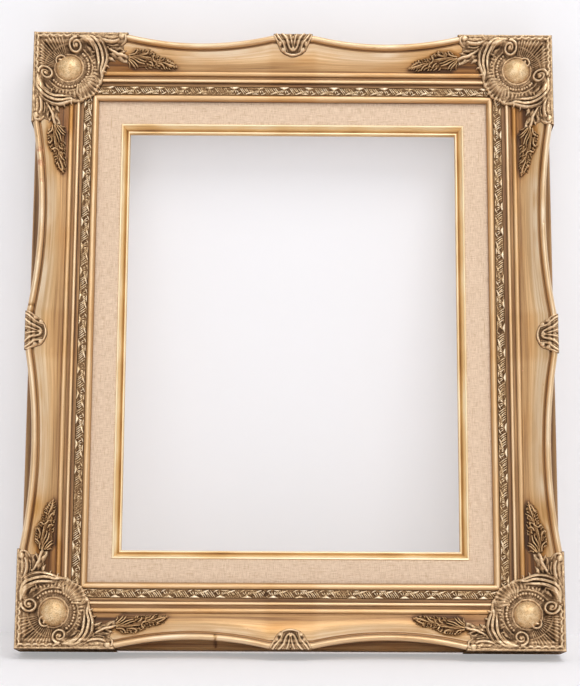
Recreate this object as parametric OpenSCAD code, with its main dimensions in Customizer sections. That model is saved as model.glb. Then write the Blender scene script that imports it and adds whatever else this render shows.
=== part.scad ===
/* [Picture] */
// Width of the picture or panel the frame is made for
picture_w = 279.4; // [200:0.1:420]
// Height of the picture or panel the frame is made for
picture_h = 355.6; // [260:0.1:520]
// How far the liner lip covers the picture on each side
lip_cover = 6.35; // [4:0.05:10]
// Play between the picture and the liner rebate wall
picture_play = 1.5; // [0.5:0.1:4]

/* [Moulding] */
// Width of the carved moulding, outer edge to sight edge
moulding_w = 53; // [50:0.5:70]
// Depth of the moulding, wall side to rim crest
moulding_depth = 42; // [40:0.5:56]
// How far the swept rim draws in between a corner and a shell
sweep_inset = 6.8; // [2:0.1:8]
// How much the rim drops for each millimetre that it draws in
sweep_drop = 0.18; // [0:0.01:0.3]
// Width of the lip that covers the liner
rebate_w = 7; // [5:0.5:10]

/* [Liner] */
// Width of linen that shows between the moulding and the gilt slip
linen_show = 18.8; // [12:0.1:40]
// Thickness of the linen with its glue
linen_t = 0.5; // [0.3:0.05:1]
// Height of the liner face above the wall side
liner_face = 20.5; // [18:0.1:21]
// Width of the gilt slip
slip_w = 6.8; // [6:0.1:9]
// Thickness of the wooden lip that carries the slip
liner_lip_t = 2.5; // [2:0.1:4]

/* [Ornament] */
// Reach of a corner casting along each side
corner_arm = 77; // [70:1:90]
// Distance of the cabochon centre from both outer edges
cabochon_at = 28; // [26:0.5:30]
// Radius of the cabochon
cabochon_r = 9.8; // [8:0.1:11]
// Half the width of a centre shell
shell_half = 16; // [12:0.5:20]
// How far a centre shell reaches in from the outer edge
shell_reach = 19; // [16:0.5:24]
// Reach of a leaf spray beyond the corner casting
spray_len = 42; // [30:1:46]

/* [Hardware] */
// Radius of the wire of a hanging ring
ring_wire_r = 1.2; // [0.9:0.1:1.6]
// Radius of the bow of a hanging ring
ring_bow_r = 8.5; // [8:0.5:12]
// Height of the hanging rings above the middle, as a share of the frame height
hanger_level = 0.24; // [0.1:0.01:0.3]
// Width of a turn button
button_w = 10; // [8:0.5:14]
// Length of a turn button from its screw to its tip
button_reach = 25; // [20:0.5:28]
// Thickness of the turn buttons
button_t = 1.2; // [0.8:0.1:2]
// Radius of the shank of every screw
screw_r = 1.5; // [1.2:0.1:2]
// Length of a screw in the wood
screw_len = 12; // [8:0.5:16]

/* [Hidden] */
$fn = 48;

// Sides as turns about the depth axis, and corners as mirrorings of the bottom left one
BOTTOM = 0;
LEFT = 90;
TOP = 180;
RIGHT = -90;
BOTTOM_LEFT = [0, 0];
BOTTOM_RIGHT = [1, 0];
TOP_LEFT = [0, 1];
TOP_RIGHT = [1, 1];

// Sizes of the opening and of the outside
sight_w = picture_w - 2 * lip_cover;
sight_h = picture_h - 2 * lip_cover;
liner_show = slip_w + linen_show;
sight_at = moulding_w + liner_show;
outer_w = sight_w + 2 * sight_at;
outer_h = sight_h + 2 * sight_at;

// Clearances
seat_gap = 0.2;
slot_gap = 0.05;
pivot_gap = 0.08;
liner_gap = 0.3;
liner_side_gap = 1;

// Heights above the wall side, and distances in from the outer edge
liner_back = 0.3;
linen_face = liner_face + linen_t;
lip_under = linen_face + liner_gap;
slip_seat = linen_face - 6.5;
ledge = slip_seat - liner_lip_t;
rebate_wall = moulding_w - rebate_w;
liner_edge = rebate_wall + liner_side_gap;
picture_wall = sight_at - lip_cover - picture_play;
slip_edge = sight_at - slip_w;
ornament_rise = 1.6;
front_most = moulding_depth + ornament_rise;

// Back hardware
strap_t = 1;
ring_corner_r = 2.6;
ring_side_play = 0.9;
strap_w = 2 * (ring_bow_r - ring_corner_r - ring_side_play);
barrel_r = ring_wire_r + pivot_gap + strap_t;
strap_holes = [ring_bow_r + 8.5, ring_bow_r + 18];
strap_tail = 4;
strap_len = strap_holes[1] + strap_tail;
head_r = 2 * screw_r;
head_t = 1.6;
hanger_axis_in = rebate_wall - 3;
hanger_x = outer_h * hanger_level;
button_pivot_in = rebate_wall - 9;
back_most = 2 * barrel_r + slot_gap;

// Wall side of the frame, placed so that the origin is the middle of the depth
wall_y = (front_most - back_most) / 2;

base_in = 1.2;
base_h = 20;

// Face of the moulding: distance in from the edge, height, share of the sweep that it follows
rim_h = moulding_depth - 42;
scoop_end = moulding_w - 24.2;
function scoop(t, h, share) = [8 + t * (scoop_end - 8), h + (1 - t) * rim_h, share];
FACE = [
    [base_in, base_h, 0], [1.7, base_h + 1.8, 0.1], [3.2, base_h + 5, 0.4], [3, 30 + rim_h, 0.75],
    [1.6, 35 + rim_h, 1], [1.2, 38 + rim_h, 1], [1.6, 40.6 + rim_h, 1], [3.4, 42 + rim_h, 1],
    [5, 41.3 + rim_h, 1], [5.8, 39.4 + rim_h, 1],
    [6.3, 37.5 + rim_h, 1], [7.1, 37.2 + rim_h, 1], scoop(0, 38, 1),
    scoop(0.14, 35.6, 0.9), scoop(0.3, 33.2, 0.75), scoop(0.5, 31.1, 0.5), scoop(0.75, 29.5, 0.2),
    scoop(1, 28.5, 0),
    [moulding_w - 23.6, 29.5, 0], [moulding_w - 22.2, 29.9, 0], [moulding_w - 20.4, 29.1, 0],
    [moulding_w - 20, 27.2, 0], [moulding_w - 18.1, 27.1, 0],
    [moulding_w - 17.4, 28.3, 0], [moulding_w - 16.4, 28.6, 0], [moulding_w - 15.3, 27.9, 0],
    [moulding_w - 15, 25.2, 0], [moulding_w - 12.4, 25, 0], [moulding_w - 12.3, 24.2, 0],
    [moulding_w - 5, 24.2, 0], [moulding_w - 4.8, 25.5, 0], [moulding_w - 3.3, 26.3, 0],
    [moulding_w - 1.3, 25.7, 0], [moulding_w, 23.4, 0]
];
BACK = [[moulding_w, lip_under, 0], [rebate_wall, lip_under, 0], [rebate_wall, 0, 0], [base_in, 0, 0]];
SECTION = concat(FACE, BACK);
course_from = moulding_w - 12.1;
course_to = moulding_w - 5.2;
course_seat = 24.2;

// The rim follows a shallow arc from the shell to the casting
sweep_start = shell_half + 1;
sweep_steps = 8;
function sweep_at(x, half) =
    let (t = (abs(x) - sweep_start) / (half - corner_arm - sweep_start))
    t <= 0 || t >= 1 ? 0 : sweep_inset * 4 * t * (1 - t);
function swept(p, e) = [p[0] + p[2] * e, p[1] - p[2] * e * sweep_drop];
RIM_CREST = 7;
function face_height(d, e) = lookup(d, [for (i = [RIM_CREST:len(FACE) - 1]) swept(FACE[i], e)]);

// Underside of the ornaments: over the rim from a given height, then a plain cove that clears the beads
function rim_seat(low) = [
    [base_in, low], [base_in, 38.5 + rim_h], [2.2, 42 + rim_h], [5.2, 42 + rim_h], swept(scoop(0, 38.1, 0), 0)
];
COVE_SEAT = [
    swept(scoop(0, 38.1, 0), 0), swept(scoop(0.14, 35.6, 0), 0), swept(scoop(0.3, 33.2, 0), 0),
    swept(scoop(0.5, 31.1, 0), 0), [scoop_end - 2, 30.2], [moulding_w - 20, 30], [moulding_w - 14, 28.9],
    [moulding_w, 26.6]
];
function underside(reach, steps, low) =
    let (rim = rim_seat(low))
    concat(
        [for (j = [steps:-1:1]) let (d = mix(8, reach, j / steps)) [d, lookup(d, COVE_SEAT) + seat_gap]],
        [for (i = [len(rim) - 1:-1:0]) rim[i] + (i < 2 ? [-seat_gap, 0] : [0, seat_gap])]
    );

// General helpers
function mix(a, b, t) = a + (b - a) * t;
function ease(a, b, x) = let (t = max(0, min(1, (x - a) / (b - a)))) t * t * (3 - 2 * t);
function dome(r, size) = abs(r) >= size ? 0 : sqrt(1 - pow(r / size, 2));
function half_length(side) = (side == LEFT || side == RIGHT) ? outer_h / 2 : outer_w / 2;
function half_across(side) = (side == LEFT || side == RIGHT) ? outer_w / 2 : outer_h / 2;

// Local X runs along a side from its middle, Y to the wall and Z inwards from the outer edge
module on_side(side) {
    translate([0, wall_y, outer_h / 2]) rotate([0, side, 0]) translate([0, 0, -half_across(side)]) children();
}

// Local X and Z run inwards from the two outer edges of a corner
module on_corner(corner) {
    translate([0, wall_y, outer_h / 2]) mirror([corner[0], 0, 0]) mirror([0, 0, corner[1]])
        translate([-outer_w / 2, 0, -outer_h / 2]) children();
}

// A closed skin over a row of rings, with flat ends
module lofted(rings) {
    n = len(rings[0]);
    last = len(rings) - 1;
    points = [for (ring = rings) each ring];
    sides = [for (i = [0:last - 1], j = [0:n - 1])
        let (a = i * n + j, b = i * n + (j + 1) % n) each [[a, b, b + n], [a, b + n, a + n]]];
    ends = [[for (j = [n - 1:-1:0]) j], [for (j = [0:n - 1]) last * n + j]];
    polyhedron(points, concat(sides, ends), convexity = 10);
}

// What lies between the two mitres of a side, down to a given distance in
module mitred(side, reach) {
    half = half_length(side);
    on_side(side) intersection() {
        children();
        rotate([90, 0, 0]) linear_extrude(front_most)
            polygon([[-half, 0], [half, 0], [half - reach, reach], [reach - half, reach]]);
    }
}

// A straight length with mitred ends and one section of [distance in, height] points
module mitred_length(side, section) {
    half = half_length(side);
    mitred(side, max([for (p = section) p[0]]) + 1) translate([-half, 0, 0]) rotate([0, 90, 0])
        linear_extrude(2 * half) polygon([for (p = section) [-p[0], -p[1]]]);
}

// Moulding rails
module pilot() {
    translate([0, 1, 0]) rotate([90, 0, 0]) cylinder(r = screw_r + slot_gap, h = screw_len + 1.5);
}
module hanger_at(side) {
    on_side(side) mirror([side == LEFT ? 1 : 0, 0, 0]) translate([hanger_x, 0, hanger_axis_in]) children();
}
module hanger_holes() {
    for (side = [LEFT, RIGHT], at = strap_holes) hanger_at(side) translate([0, 0, -at]) children();
}
module button_at(side) {
    on_side(side) translate([0, 0, button_pivot_in]) children();
}
module button_holes() {
    for (side = [TOP, BOTTOM, LEFT, RIGHT]) button_at(side) children();
}
module rail(side) {
    half = half_length(side);
    far = half - corner_arm;
    curved = [for (i = [0:sweep_steps]) mix(sweep_start, far, i / sweep_steps)];
    stations = concat([-half], [for (i = [sweep_steps:-1:0]) -curved[i]], curved, [half]);
    color("tan") difference() {
        mitred(side, moulding_w + 1)
            lofted([for (x = stations) let (e = sweep_at(x, half))
                [for (p = SECTION) let (q = swept(p, e)) [x, -q[1], q[0]]]]);
        nail_slots(side, frame_nails, nail_leg, 0);
        hanger_holes() pilot();
        button_holes() pilot();
    }
}
module rail_top() { rail(TOP); }
module rail_bottom() { rail(BOTTOM); }
module rail_left() { rail(LEFT); }
module rail_right() { rail(RIGHT); }

// V nails straddle the mitres and are driven in from the wall side
nail_t = 0.6;
nail_h = 9;
nail_sink = 0.4;
nail_leg = 5;
liner_nail_leg = 4;
frame_nails = [14, 33];
liner_nails = [mix(liner_edge, picture_wall, 0.4)];
module v_nails(places, leg, back) {
    color("silver") for (corner = [BOTTOM_LEFT, BOTTOM_RIGHT, TOP_LEFT, TOP_RIGHT], at = places)
        on_corner(corner) translate([at, -back - nail_sink, at]) rotate([90, 0, 0]) linear_extrude(nail_h) {
            translate([-nail_t / 2, -nail_t / 2]) square([leg + nail_t / 2, nail_t]);
            translate([-nail_t / 2, -nail_t / 2]) square([nail_t, leg + nail_t / 2]);
        }
}
module nail_slots(side, places, leg, back) {
    half_t = nail_t / 2 + slot_gap;
    depth = back + nail_sink + nail_h + slot_gap;
    on_side(side) for (m = [0, 1], at = places) mirror([m, 0, 0])
        translate([at - half_length(side) - 1, -depth, at - half_t])
            cube([leg + 1 + half_t, depth + 1, 2 * half_t]);
}
module frame_v_nails() { v_nails(frame_nails, nail_leg, 0); }
module liner_v_nails() { v_nails(liner_nails, liner_nail_leg, liner_back); }

// Corner castings: one casting covers the mitre and an arm along both sides
CASTING_REACH = [
    [0, moulding_w - 3], [0.2, moulding_w - 4], [0.36, 45], [0.42, 40], [0.55, 27], [0.67, 21], [1, 18]
];
casting_low = 4;
casting_cols = 18;
casting_rows = 9;
scroll_at = [36, 10];
scroll_r = 5.7;
disc_r = 25;
disc_top = 34;
bead_ring_r = 16.5;
leaf_at = 57;
function casting_top(u, v) =
    let (d = min(u, v), a = max(u, v), r = norm([u - cabochon_at, v - cabochon_at]))
    let (seat = d < 8 ? 42 + rim_h : lookup(d, COVE_SEAT), turn = atan2(d - 20, a - leaf_at))
    let (field = seat + 1.3, ribs = seat + 1.3 + (a > leaf_at ? 0.8 * cos(turn * 10) : 0.3))
    let (disc = mix(seat + 1, disc_top, 1 - ease(disc_r - 3, disc_r + 2, r)))
    let (cabochon = disc_top - 1 + (cabochon_r - 2.6) * dome(r, cabochon_r))
    let (beads = disc_top + 1.6 * dome(r - bead_ring_r, 2.4))
    let (scroll = seat + 4.5 * dome(norm([a, d] - scroll_at), scroll_r))
    let (leaf = seat + 1 + 2.6 * dome(a - leaf_at - 2 * sin(6 * (d - 14)), 5) * ease(8, 14, d))
    min(front_most, max(field, ribs, disc, cabochon, beads, scroll, leaf));
function casting_ring(s) =
    let (reach = lookup(s, CASTING_REACH))
    let (top = [for (j = [0:casting_cols]) mix(1.2, reach, j / casting_cols)])
    let (along = function(d) d + s * (corner_arm - d))
    let (outer_top = casting_top(along(1.2), 1.2))
    concat(
        [[0, casting_low], [0, outer_top - 1.2]],
        [for (d = top) [d, casting_top(along(d), d)]],
        underside(reach, 5, casting_low)
    );
module corner_casting(corner) {
    up = [for (i = [casting_rows:-1:1]) let (s = i / casting_rows)
        [for (p = casting_ring(s)) [p[0], -p[1], p[0] + s * (corner_arm - p[0])]]];
    across = [for (i = [0:casting_rows]) let (s = i / casting_rows)
        [for (p = casting_ring(s)) [p[0] + s * (corner_arm - p[0]), -p[1], p[0]]]];
    color("darkgoldenrod") on_corner(corner) lofted(concat(up, across));
}
module corner_top_left() { corner_casting(TOP_LEFT); }
module corner_top_right() { corner_casting(TOP_RIGHT); }
module corner_bottom_left() { corner_casting(BOTTOM_LEFT); }
module corner_bottom_right() { corner_casting(BOTTOM_RIGHT); }

// Centre shells: flutes fan out from the inner lip and wrap over the rim
shell_cols = 9;
shell_rows = 20;
shell_edge = 0.3;
shell_low = 24;
flutes = 5;
fan_from = shell_reach + 8;
fan_turn = 2 * atan2(shell_half, fan_from);
function shell_top_height(x, d) =
    let (seat = d < 8 ? 42 + rim_h : lookup(d, COVE_SEAT), turn = atan2(x, fan_from - d))
    min(front_most, seat + 0.7 + 0.6 * cos(360 * flutes * turn / fan_turn) + 1.2 * ease(4, 12, d));
function shell_ring(x) =
    let (reach = mix(shell_reach, 9, ease(0.6 * shell_half, shell_half, abs(x))))
    concat(
        [[shell_edge, shell_low], [shell_edge, shell_top_height(x, 1.4) - 1]],
        [for (j = [0:shell_cols]) let (d = mix(1.4, reach, j / shell_cols)) [d, shell_top_height(x, d)]],
        underside(reach, 3, shell_low)
    );
module shell(side) {
    rings = [for (i = [0:shell_rows]) let (x = mix(-shell_half, shell_half, i / shell_rows))
        [for (p = shell_ring(x)) [x, -p[1], p[0]]]];
    color("goldenrod") on_side(side) lofted(rings);
}
module shell_top() { shell(TOP); }
module shell_bottom() { shell(BOTTOM); }
module shell_left() { shell(LEFT); }
module shell_right() { shell(RIGHT); }

// Leaf sprays: flat leaves that lie in the scoop from the casting to a point
spray_rows = 13;
spray_gap = 0.3;
SPRAY_OUT = [[0, 13.6], [0.16, 12.2], [0.35, 13], [0.62, 17.8], [0.85, 21.8], [1, 25]];
SPRAY_IN = [[0, 21.4], [0.16, 26.9], [0.35, 28], [0.62, 28.2], [0.85, 27.9], [1, 26.6]];
function spray_ground(d, e) = max(face_height(d, e), d > 20 ? 29 : 0);
function spray_ring(t, half) =
    let (u = corner_arm + spray_gap + t * spray_len, e = sweep_at(half - u, half))
    let (from = lookup(t, SPRAY_OUT), to = lookup(t, SPRAY_IN))
    let (rise = function(j) mix(2.4, 1, t) * (j % 2 == 0 ? 0.35 : 1) * sin(180 * mix(0.15, 0.85, j / 4)))
    let (under = function(d) -spray_ground(d, e) - seat_gap)
    concat(
        [for (j = [0:4]) let (d = mix(from, to, j / 4)) [u, under(d) - 0.9 - rise(j), d]],
        [for (j = [4:-1:0]) let (d = mix(from, to, j / 4)) [u, under(d), d]]
    );
module spray(corner, up) {
    half = (up ? outer_h : outer_w) / 2;
    color("darkgoldenrod") on_corner(corner) mirror(up ? [1, 0, -1] : [0, 0, 0])
        lofted([for (i = [0:spray_rows]) spray_ring(i / spray_rows, half)]);
}
module spray_top_left_across() { spray(TOP_LEFT, false); }
module spray_top_left_down() { spray(TOP_LEFT, true); }
module spray_top_right_across() { spray(TOP_RIGHT, false); }
module spray_top_right_down() { spray(TOP_RIGHT, true); }
module spray_bottom_left_across() { spray(BOTTOM_LEFT, false); }
module spray_bottom_left_up() { spray(BOTTOM_LEFT, true); }
module spray_bottom_right_across() { spray(BOTTOM_RIGHT, false); }
module spray_bottom_right_up() { spray(BOTTOM_RIGHT, true); }

// Pressed leaf courses lie in a channel beside the sight bead
course_t = 2.2;
COURSE_SECTION = [
    [course_from, course_seat + slot_gap], [course_to, course_seat + slot_gap],
    [course_to, course_seat + 0.5 * course_t], [mix(course_to, course_from, 0.3), course_seat + course_t],
    [mix(course_to, course_from, 0.7), course_seat + course_t], [course_from, course_seat + 0.5 * course_t]
];
module leaf_course(side) { color("burlywood") mitred_length(side, COURSE_SECTION); }
module leaf_course_top() { leaf_course(TOP); }
module leaf_course_bottom() { leaf_course(BOTTOM); }
module leaf_course_left() { leaf_course(LEFT); }
module leaf_course_right() { leaf_course(RIGHT); }

// Liner: a flat wooden panel frame with a lip for the picture and a step for the slip
LINER_SECTION = [
    [liner_edge, liner_back], [picture_wall, liner_back], [picture_wall, ledge], [sight_at, ledge],
    [sight_at, slip_seat], [slip_edge, slip_seat], [slip_edge, liner_face], [liner_edge, liner_face]
];
module liner(side) {
    color("wheat") difference() {
        mitred_length(side, LINER_SECTION);
        nail_slots(side, liner_nails, liner_nail_leg, liner_back);
    }
}
module liner_top() { liner(TOP); }
module liner_bottom() { liner(BOTTOM); }
module liner_left() { liner(LEFT); }
module liner_right() { liner(RIGHT); }

// Linen glued over the liner face
LINEN_SECTION = [
    [liner_edge, liner_face], [slip_edge, liner_face], [slip_edge, linen_face], [liner_edge, linen_face]
];
module linen(side) { color("linen") mitred_length(side, LINEN_SECTION); }
module linen_top() { linen(TOP); }
module linen_bottom() { linen(BOTTOM); }
module linen_left() { linen(LEFT); }
module linen_right() { linen(RIGHT); }

// Gilt slip: an outer bead, a cove and a low bead at the opening
SLIP_SECTION = [
    [slip_edge + slot_gap, slip_seat], [sight_at, slip_seat], [sight_at, slip_seat + 2.4],
    [sight_at - 0.5, slip_seat + 3.1], [sight_at - 1.3, slip_seat + 3.1], [sight_at - 2.1, slip_seat + 2.6],
    [sight_at - 3.6, slip_seat + 3.9], [slip_edge + 1.9, slip_seat + 6.2], [slip_edge + 1.3, slip_seat + 7.2],
    [slip_edge + 0.6, slip_seat + 7.4], [slip_edge + slot_gap, slip_seat + 6.9]
];
module slip(side) { color("gold") mitred_length(side, SLIP_SECTION); }
module slip_top() { slip(TOP); }
module slip_bottom() { slip(BOTTOM); }
module slip_left() { slip(LEFT); }
module slip_right() { slip(RIGHT); }

// Screws stand with their heads on the plate that they hold
module screw(plate_t) {
    translate([0, plate_t + slot_gap, 0]) rotate([90, 0, 0]) cylinder(r = screw_r, h = screw_len);
    translate([0, plate_t + slot_gap + head_t, 0]) rotate([90, 0, 0]) intersection() {
        cylinder(r = head_r, h = head_t);
        translate([0, 0, 2 * head_r]) sphere(r = 2 * head_r);
    }
}

// Strap hangers: the end of the strap is rolled round the straight bar of a ring
module hanger_strap() {
    color("silver") translate([0, slot_gap, 0]) difference() {
        union() {
            translate([-strap_w / 2, 0, -strap_len]) cube([strap_w, strap_t, strap_len]);
            translate([-strap_w / 2, barrel_r, 0]) rotate([0, 90, 0]) cylinder(r = barrel_r, h = strap_w);
        }
        translate([-strap_w / 2 - 1, barrel_r, 0]) rotate([0, 90, 0])
            cylinder(r = ring_wire_r + pivot_gap, h = strap_w + 2);
        for (at = strap_holes) translate([0, strap_t + 1, -at]) rotate([90, 0, 0])
            cylinder(r = screw_r + seat_gap, h = strap_t + 2);
    }
}
module ring_bend(radius, angle) {
    rotate_extrude(angle = angle) translate([radius, 0]) circle(r = ring_wire_r, $fn = 24);
}
module hanger_ring() {
    bar = ring_bow_r - ring_corner_r;
    color("silver") translate([0, slot_gap + barrel_r, 0]) {
        translate([-bar, 0, 0]) rotate([0, 90, 0]) cylinder(r = ring_wire_r, h = 2 * bar);
        translate([0, 0, ring_corner_r]) rotate([90, 0, 0]) ring_bend(ring_bow_r, 180);
        for (m = [0, 1]) mirror([m, 0, 0]) translate([bar, 0, ring_corner_r])
            rotate([90, 0, 0]) rotate([0, 0, 270]) ring_bend(ring_corner_r, 90);
    }
}
module hanger_strap_left() { hanger_at(LEFT) hanger_strap(); }
module hanger_strap_right() { hanger_at(RIGHT) hanger_strap(); }
module hanger_ring_left() { hanger_at(LEFT) hanger_ring(); }
module hanger_ring_right() { hanger_at(RIGHT) hanger_ring(); }
module hanger_screws() {
    color("silver") hanger_holes() screw(strap_t + slot_gap);
}

// Turn buttons keep the liner in the rebate
module turn_button(side) {
    color("silver") button_at(side) translate([0, pivot_gap + button_t, 0]) rotate([90, 0, 0])
        linear_extrude(button_t) difference() {
            union() {
                circle(r = button_w / 2);
                translate([0, button_reach - button_w / 2]) circle(r = button_w / 2);
                translate([-button_w / 2, 0]) square([button_w, button_reach - button_w / 2]);
            }
            circle(r = screw_r + pivot_gap);
        }
}
module turn_button_top() { turn_button(TOP); }
module turn_button_bottom() { turn_button(BOTTOM); }
module turn_button_left() { turn_button(LEFT); }
module turn_button_right() { turn_button(RIGHT); }
module turn_button_screws() {
    color("silver") button_holes() screw(2 * pivot_gap + button_t);
}

rail_top();
rail_bottom();
rail_left();
rail_right();
corner_top_left();
corner_top_right();
corner_bottom_left();
corner_bottom_right();
shell_top();
shell_bottom();
shell_left();
shell_right();
spray_top_left_across();
spray_top_left_down();
spray_top_right_across();
spray_top_right_down();
spray_bottom_left_across();
spray_bottom_left_up();
spray_bottom_right_across();
spray_bottom_right_up();
leaf_course_top();
leaf_course_bottom();
leaf_course_left();
leaf_course_right();
liner_top();
liner_bottom();
liner_left();
liner_right();
linen_top();
linen_bottom();
linen_left();
linen_right();
slip_top();
slip_bottom();
slip_left();
slip_right();
frame_v_nails();
liner_v_nails();
hanger_strap_left();
hanger_strap_right();
hanger_ring_left();
hanger_ring_right();
hanger_screws();
turn_button_top();
turn_button_bottom();
turn_button_left();
turn_button_right();
turn_button_screws();
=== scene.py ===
import math

import bpy
import numpy as np
from mathutils import Matrix, Vector


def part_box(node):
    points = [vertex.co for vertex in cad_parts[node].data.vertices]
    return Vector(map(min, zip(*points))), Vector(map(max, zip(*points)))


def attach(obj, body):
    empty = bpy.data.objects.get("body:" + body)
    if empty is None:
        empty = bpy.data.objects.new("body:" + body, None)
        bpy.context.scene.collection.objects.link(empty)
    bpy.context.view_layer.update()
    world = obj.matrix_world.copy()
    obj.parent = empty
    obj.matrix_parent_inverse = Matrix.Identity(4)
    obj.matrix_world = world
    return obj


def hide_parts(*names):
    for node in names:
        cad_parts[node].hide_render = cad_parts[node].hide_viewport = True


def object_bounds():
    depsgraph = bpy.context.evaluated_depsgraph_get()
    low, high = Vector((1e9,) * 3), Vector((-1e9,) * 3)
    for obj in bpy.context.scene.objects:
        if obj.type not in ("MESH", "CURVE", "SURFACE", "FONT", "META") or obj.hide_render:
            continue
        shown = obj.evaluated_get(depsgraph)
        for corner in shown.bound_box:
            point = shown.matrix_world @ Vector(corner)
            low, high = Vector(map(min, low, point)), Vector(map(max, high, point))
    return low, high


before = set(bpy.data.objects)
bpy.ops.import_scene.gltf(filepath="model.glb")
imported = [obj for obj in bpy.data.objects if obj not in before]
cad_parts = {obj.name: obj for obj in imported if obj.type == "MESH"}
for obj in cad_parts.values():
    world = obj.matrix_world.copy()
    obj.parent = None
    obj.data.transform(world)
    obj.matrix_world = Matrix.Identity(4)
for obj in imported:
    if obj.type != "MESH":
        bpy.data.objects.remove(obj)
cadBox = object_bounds()
print("loaded the frame:", len(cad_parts), "parts")

# Pieces are drawn in millimetres: x along a side, d in from the outer edge, h up from the wall side
toMetres = 0.001
perMetre = 1000
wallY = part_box("rail_bottom")[1][1] * perMetre
outerWidth = (cadBox[1][0] - cadBox[0][0]) * perMetre
outerHeight = (cadBox[1][2] - cadBox[0][2]) * perMetre
sideNames = ["top", "bottom", "left", "right"]
halfLength = {side: (outerHeight if side in ("left", "right") else outerWidth) / 2 for side in sideNames}
cornerNames = ["top_left", "top_right", "bottom_left", "bottom_right"]
cornerSides = {"bottom_left": "bottom", "bottom_right": "right", "top_right": "top", "top_left": "left"}
cornerArm = 77
linerEdge = 47
slipEdge = 71.8


# Shared shapes

def onSide(side, x, d, h):
    # x runs along the side from its middle, clockwise for someone behind the frame
    y = wallY - h
    if side == "bottom":
        return np.stack([x, y, d], axis=-1)
    if side == "top":
        return np.stack([-x, y, outerHeight - d], axis=-1)
    if side == "right":
        return np.stack([outerWidth / 2 - d, y, outerHeight / 2 + x], axis=-1)
    return np.stack([-outerWidth / 2 + d, y, outerHeight / 2 - x], axis=-1)


def onCorner(corner, u, v, h):
    # u and v are measured from the two outer edges; each corner is the bottom left one, turned
    side = cornerSides[corner]
    return onSide(side, u - halfLength[side], v, h)


def ease(low, high, x):
    t = np.clip((x - low) / (high - low), 0, 1)
    return t * t * (3 - 2 * t)


def splineThrough(points, pieces=8):
    # a smooth line through a few points
    p = np.array(points, float)
    if len(p) < 3:
        t = np.linspace(0, 1, pieces + 1)[:, None]
        return p[0] * (1 - t) + p[-1] * t
    ends = np.vstack([2 * p[0] - p[1], p, 2 * p[-1] - p[-2]])
    out = []
    for i in range(len(p) - 1):
        a, b, c, e = ends[i:i + 4]
        for t in np.arange(pieces) / pieces:
            out.append(0.5 * (2 * b + (c - a) * t + (2 * a - 5 * b + 4 * c - e) * t ** 2
                              + (3 * b - a - 3 * c + e) * t ** 3))
    out.append(p[-1])
    return np.array(out)


def blurred(field, reach):
    # soft average over a square window, run twice
    size = 2 * reach + 1
    for turn in range(2):
        for axis in (0, 1):
            padded = np.concatenate([np.repeat(field.take([0], axis), reach + 1, axis), field,
                                     np.repeat(field.take([-1], axis), reach, axis)], axis)
            total = np.cumsum(padded, axis)
            count = field.shape[axis]
            field = (total.take(range(size, size + count), axis) - total.take(range(count), axis)) / size
    return field


def roughNoise(shape, reach, seed):
    # seeded unevenness with a standard spread of about 1
    field = blurred(np.random.default_rng(seed).normal(size=shape), reach)
    return field / (field.std() + 1e-9)


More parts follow.
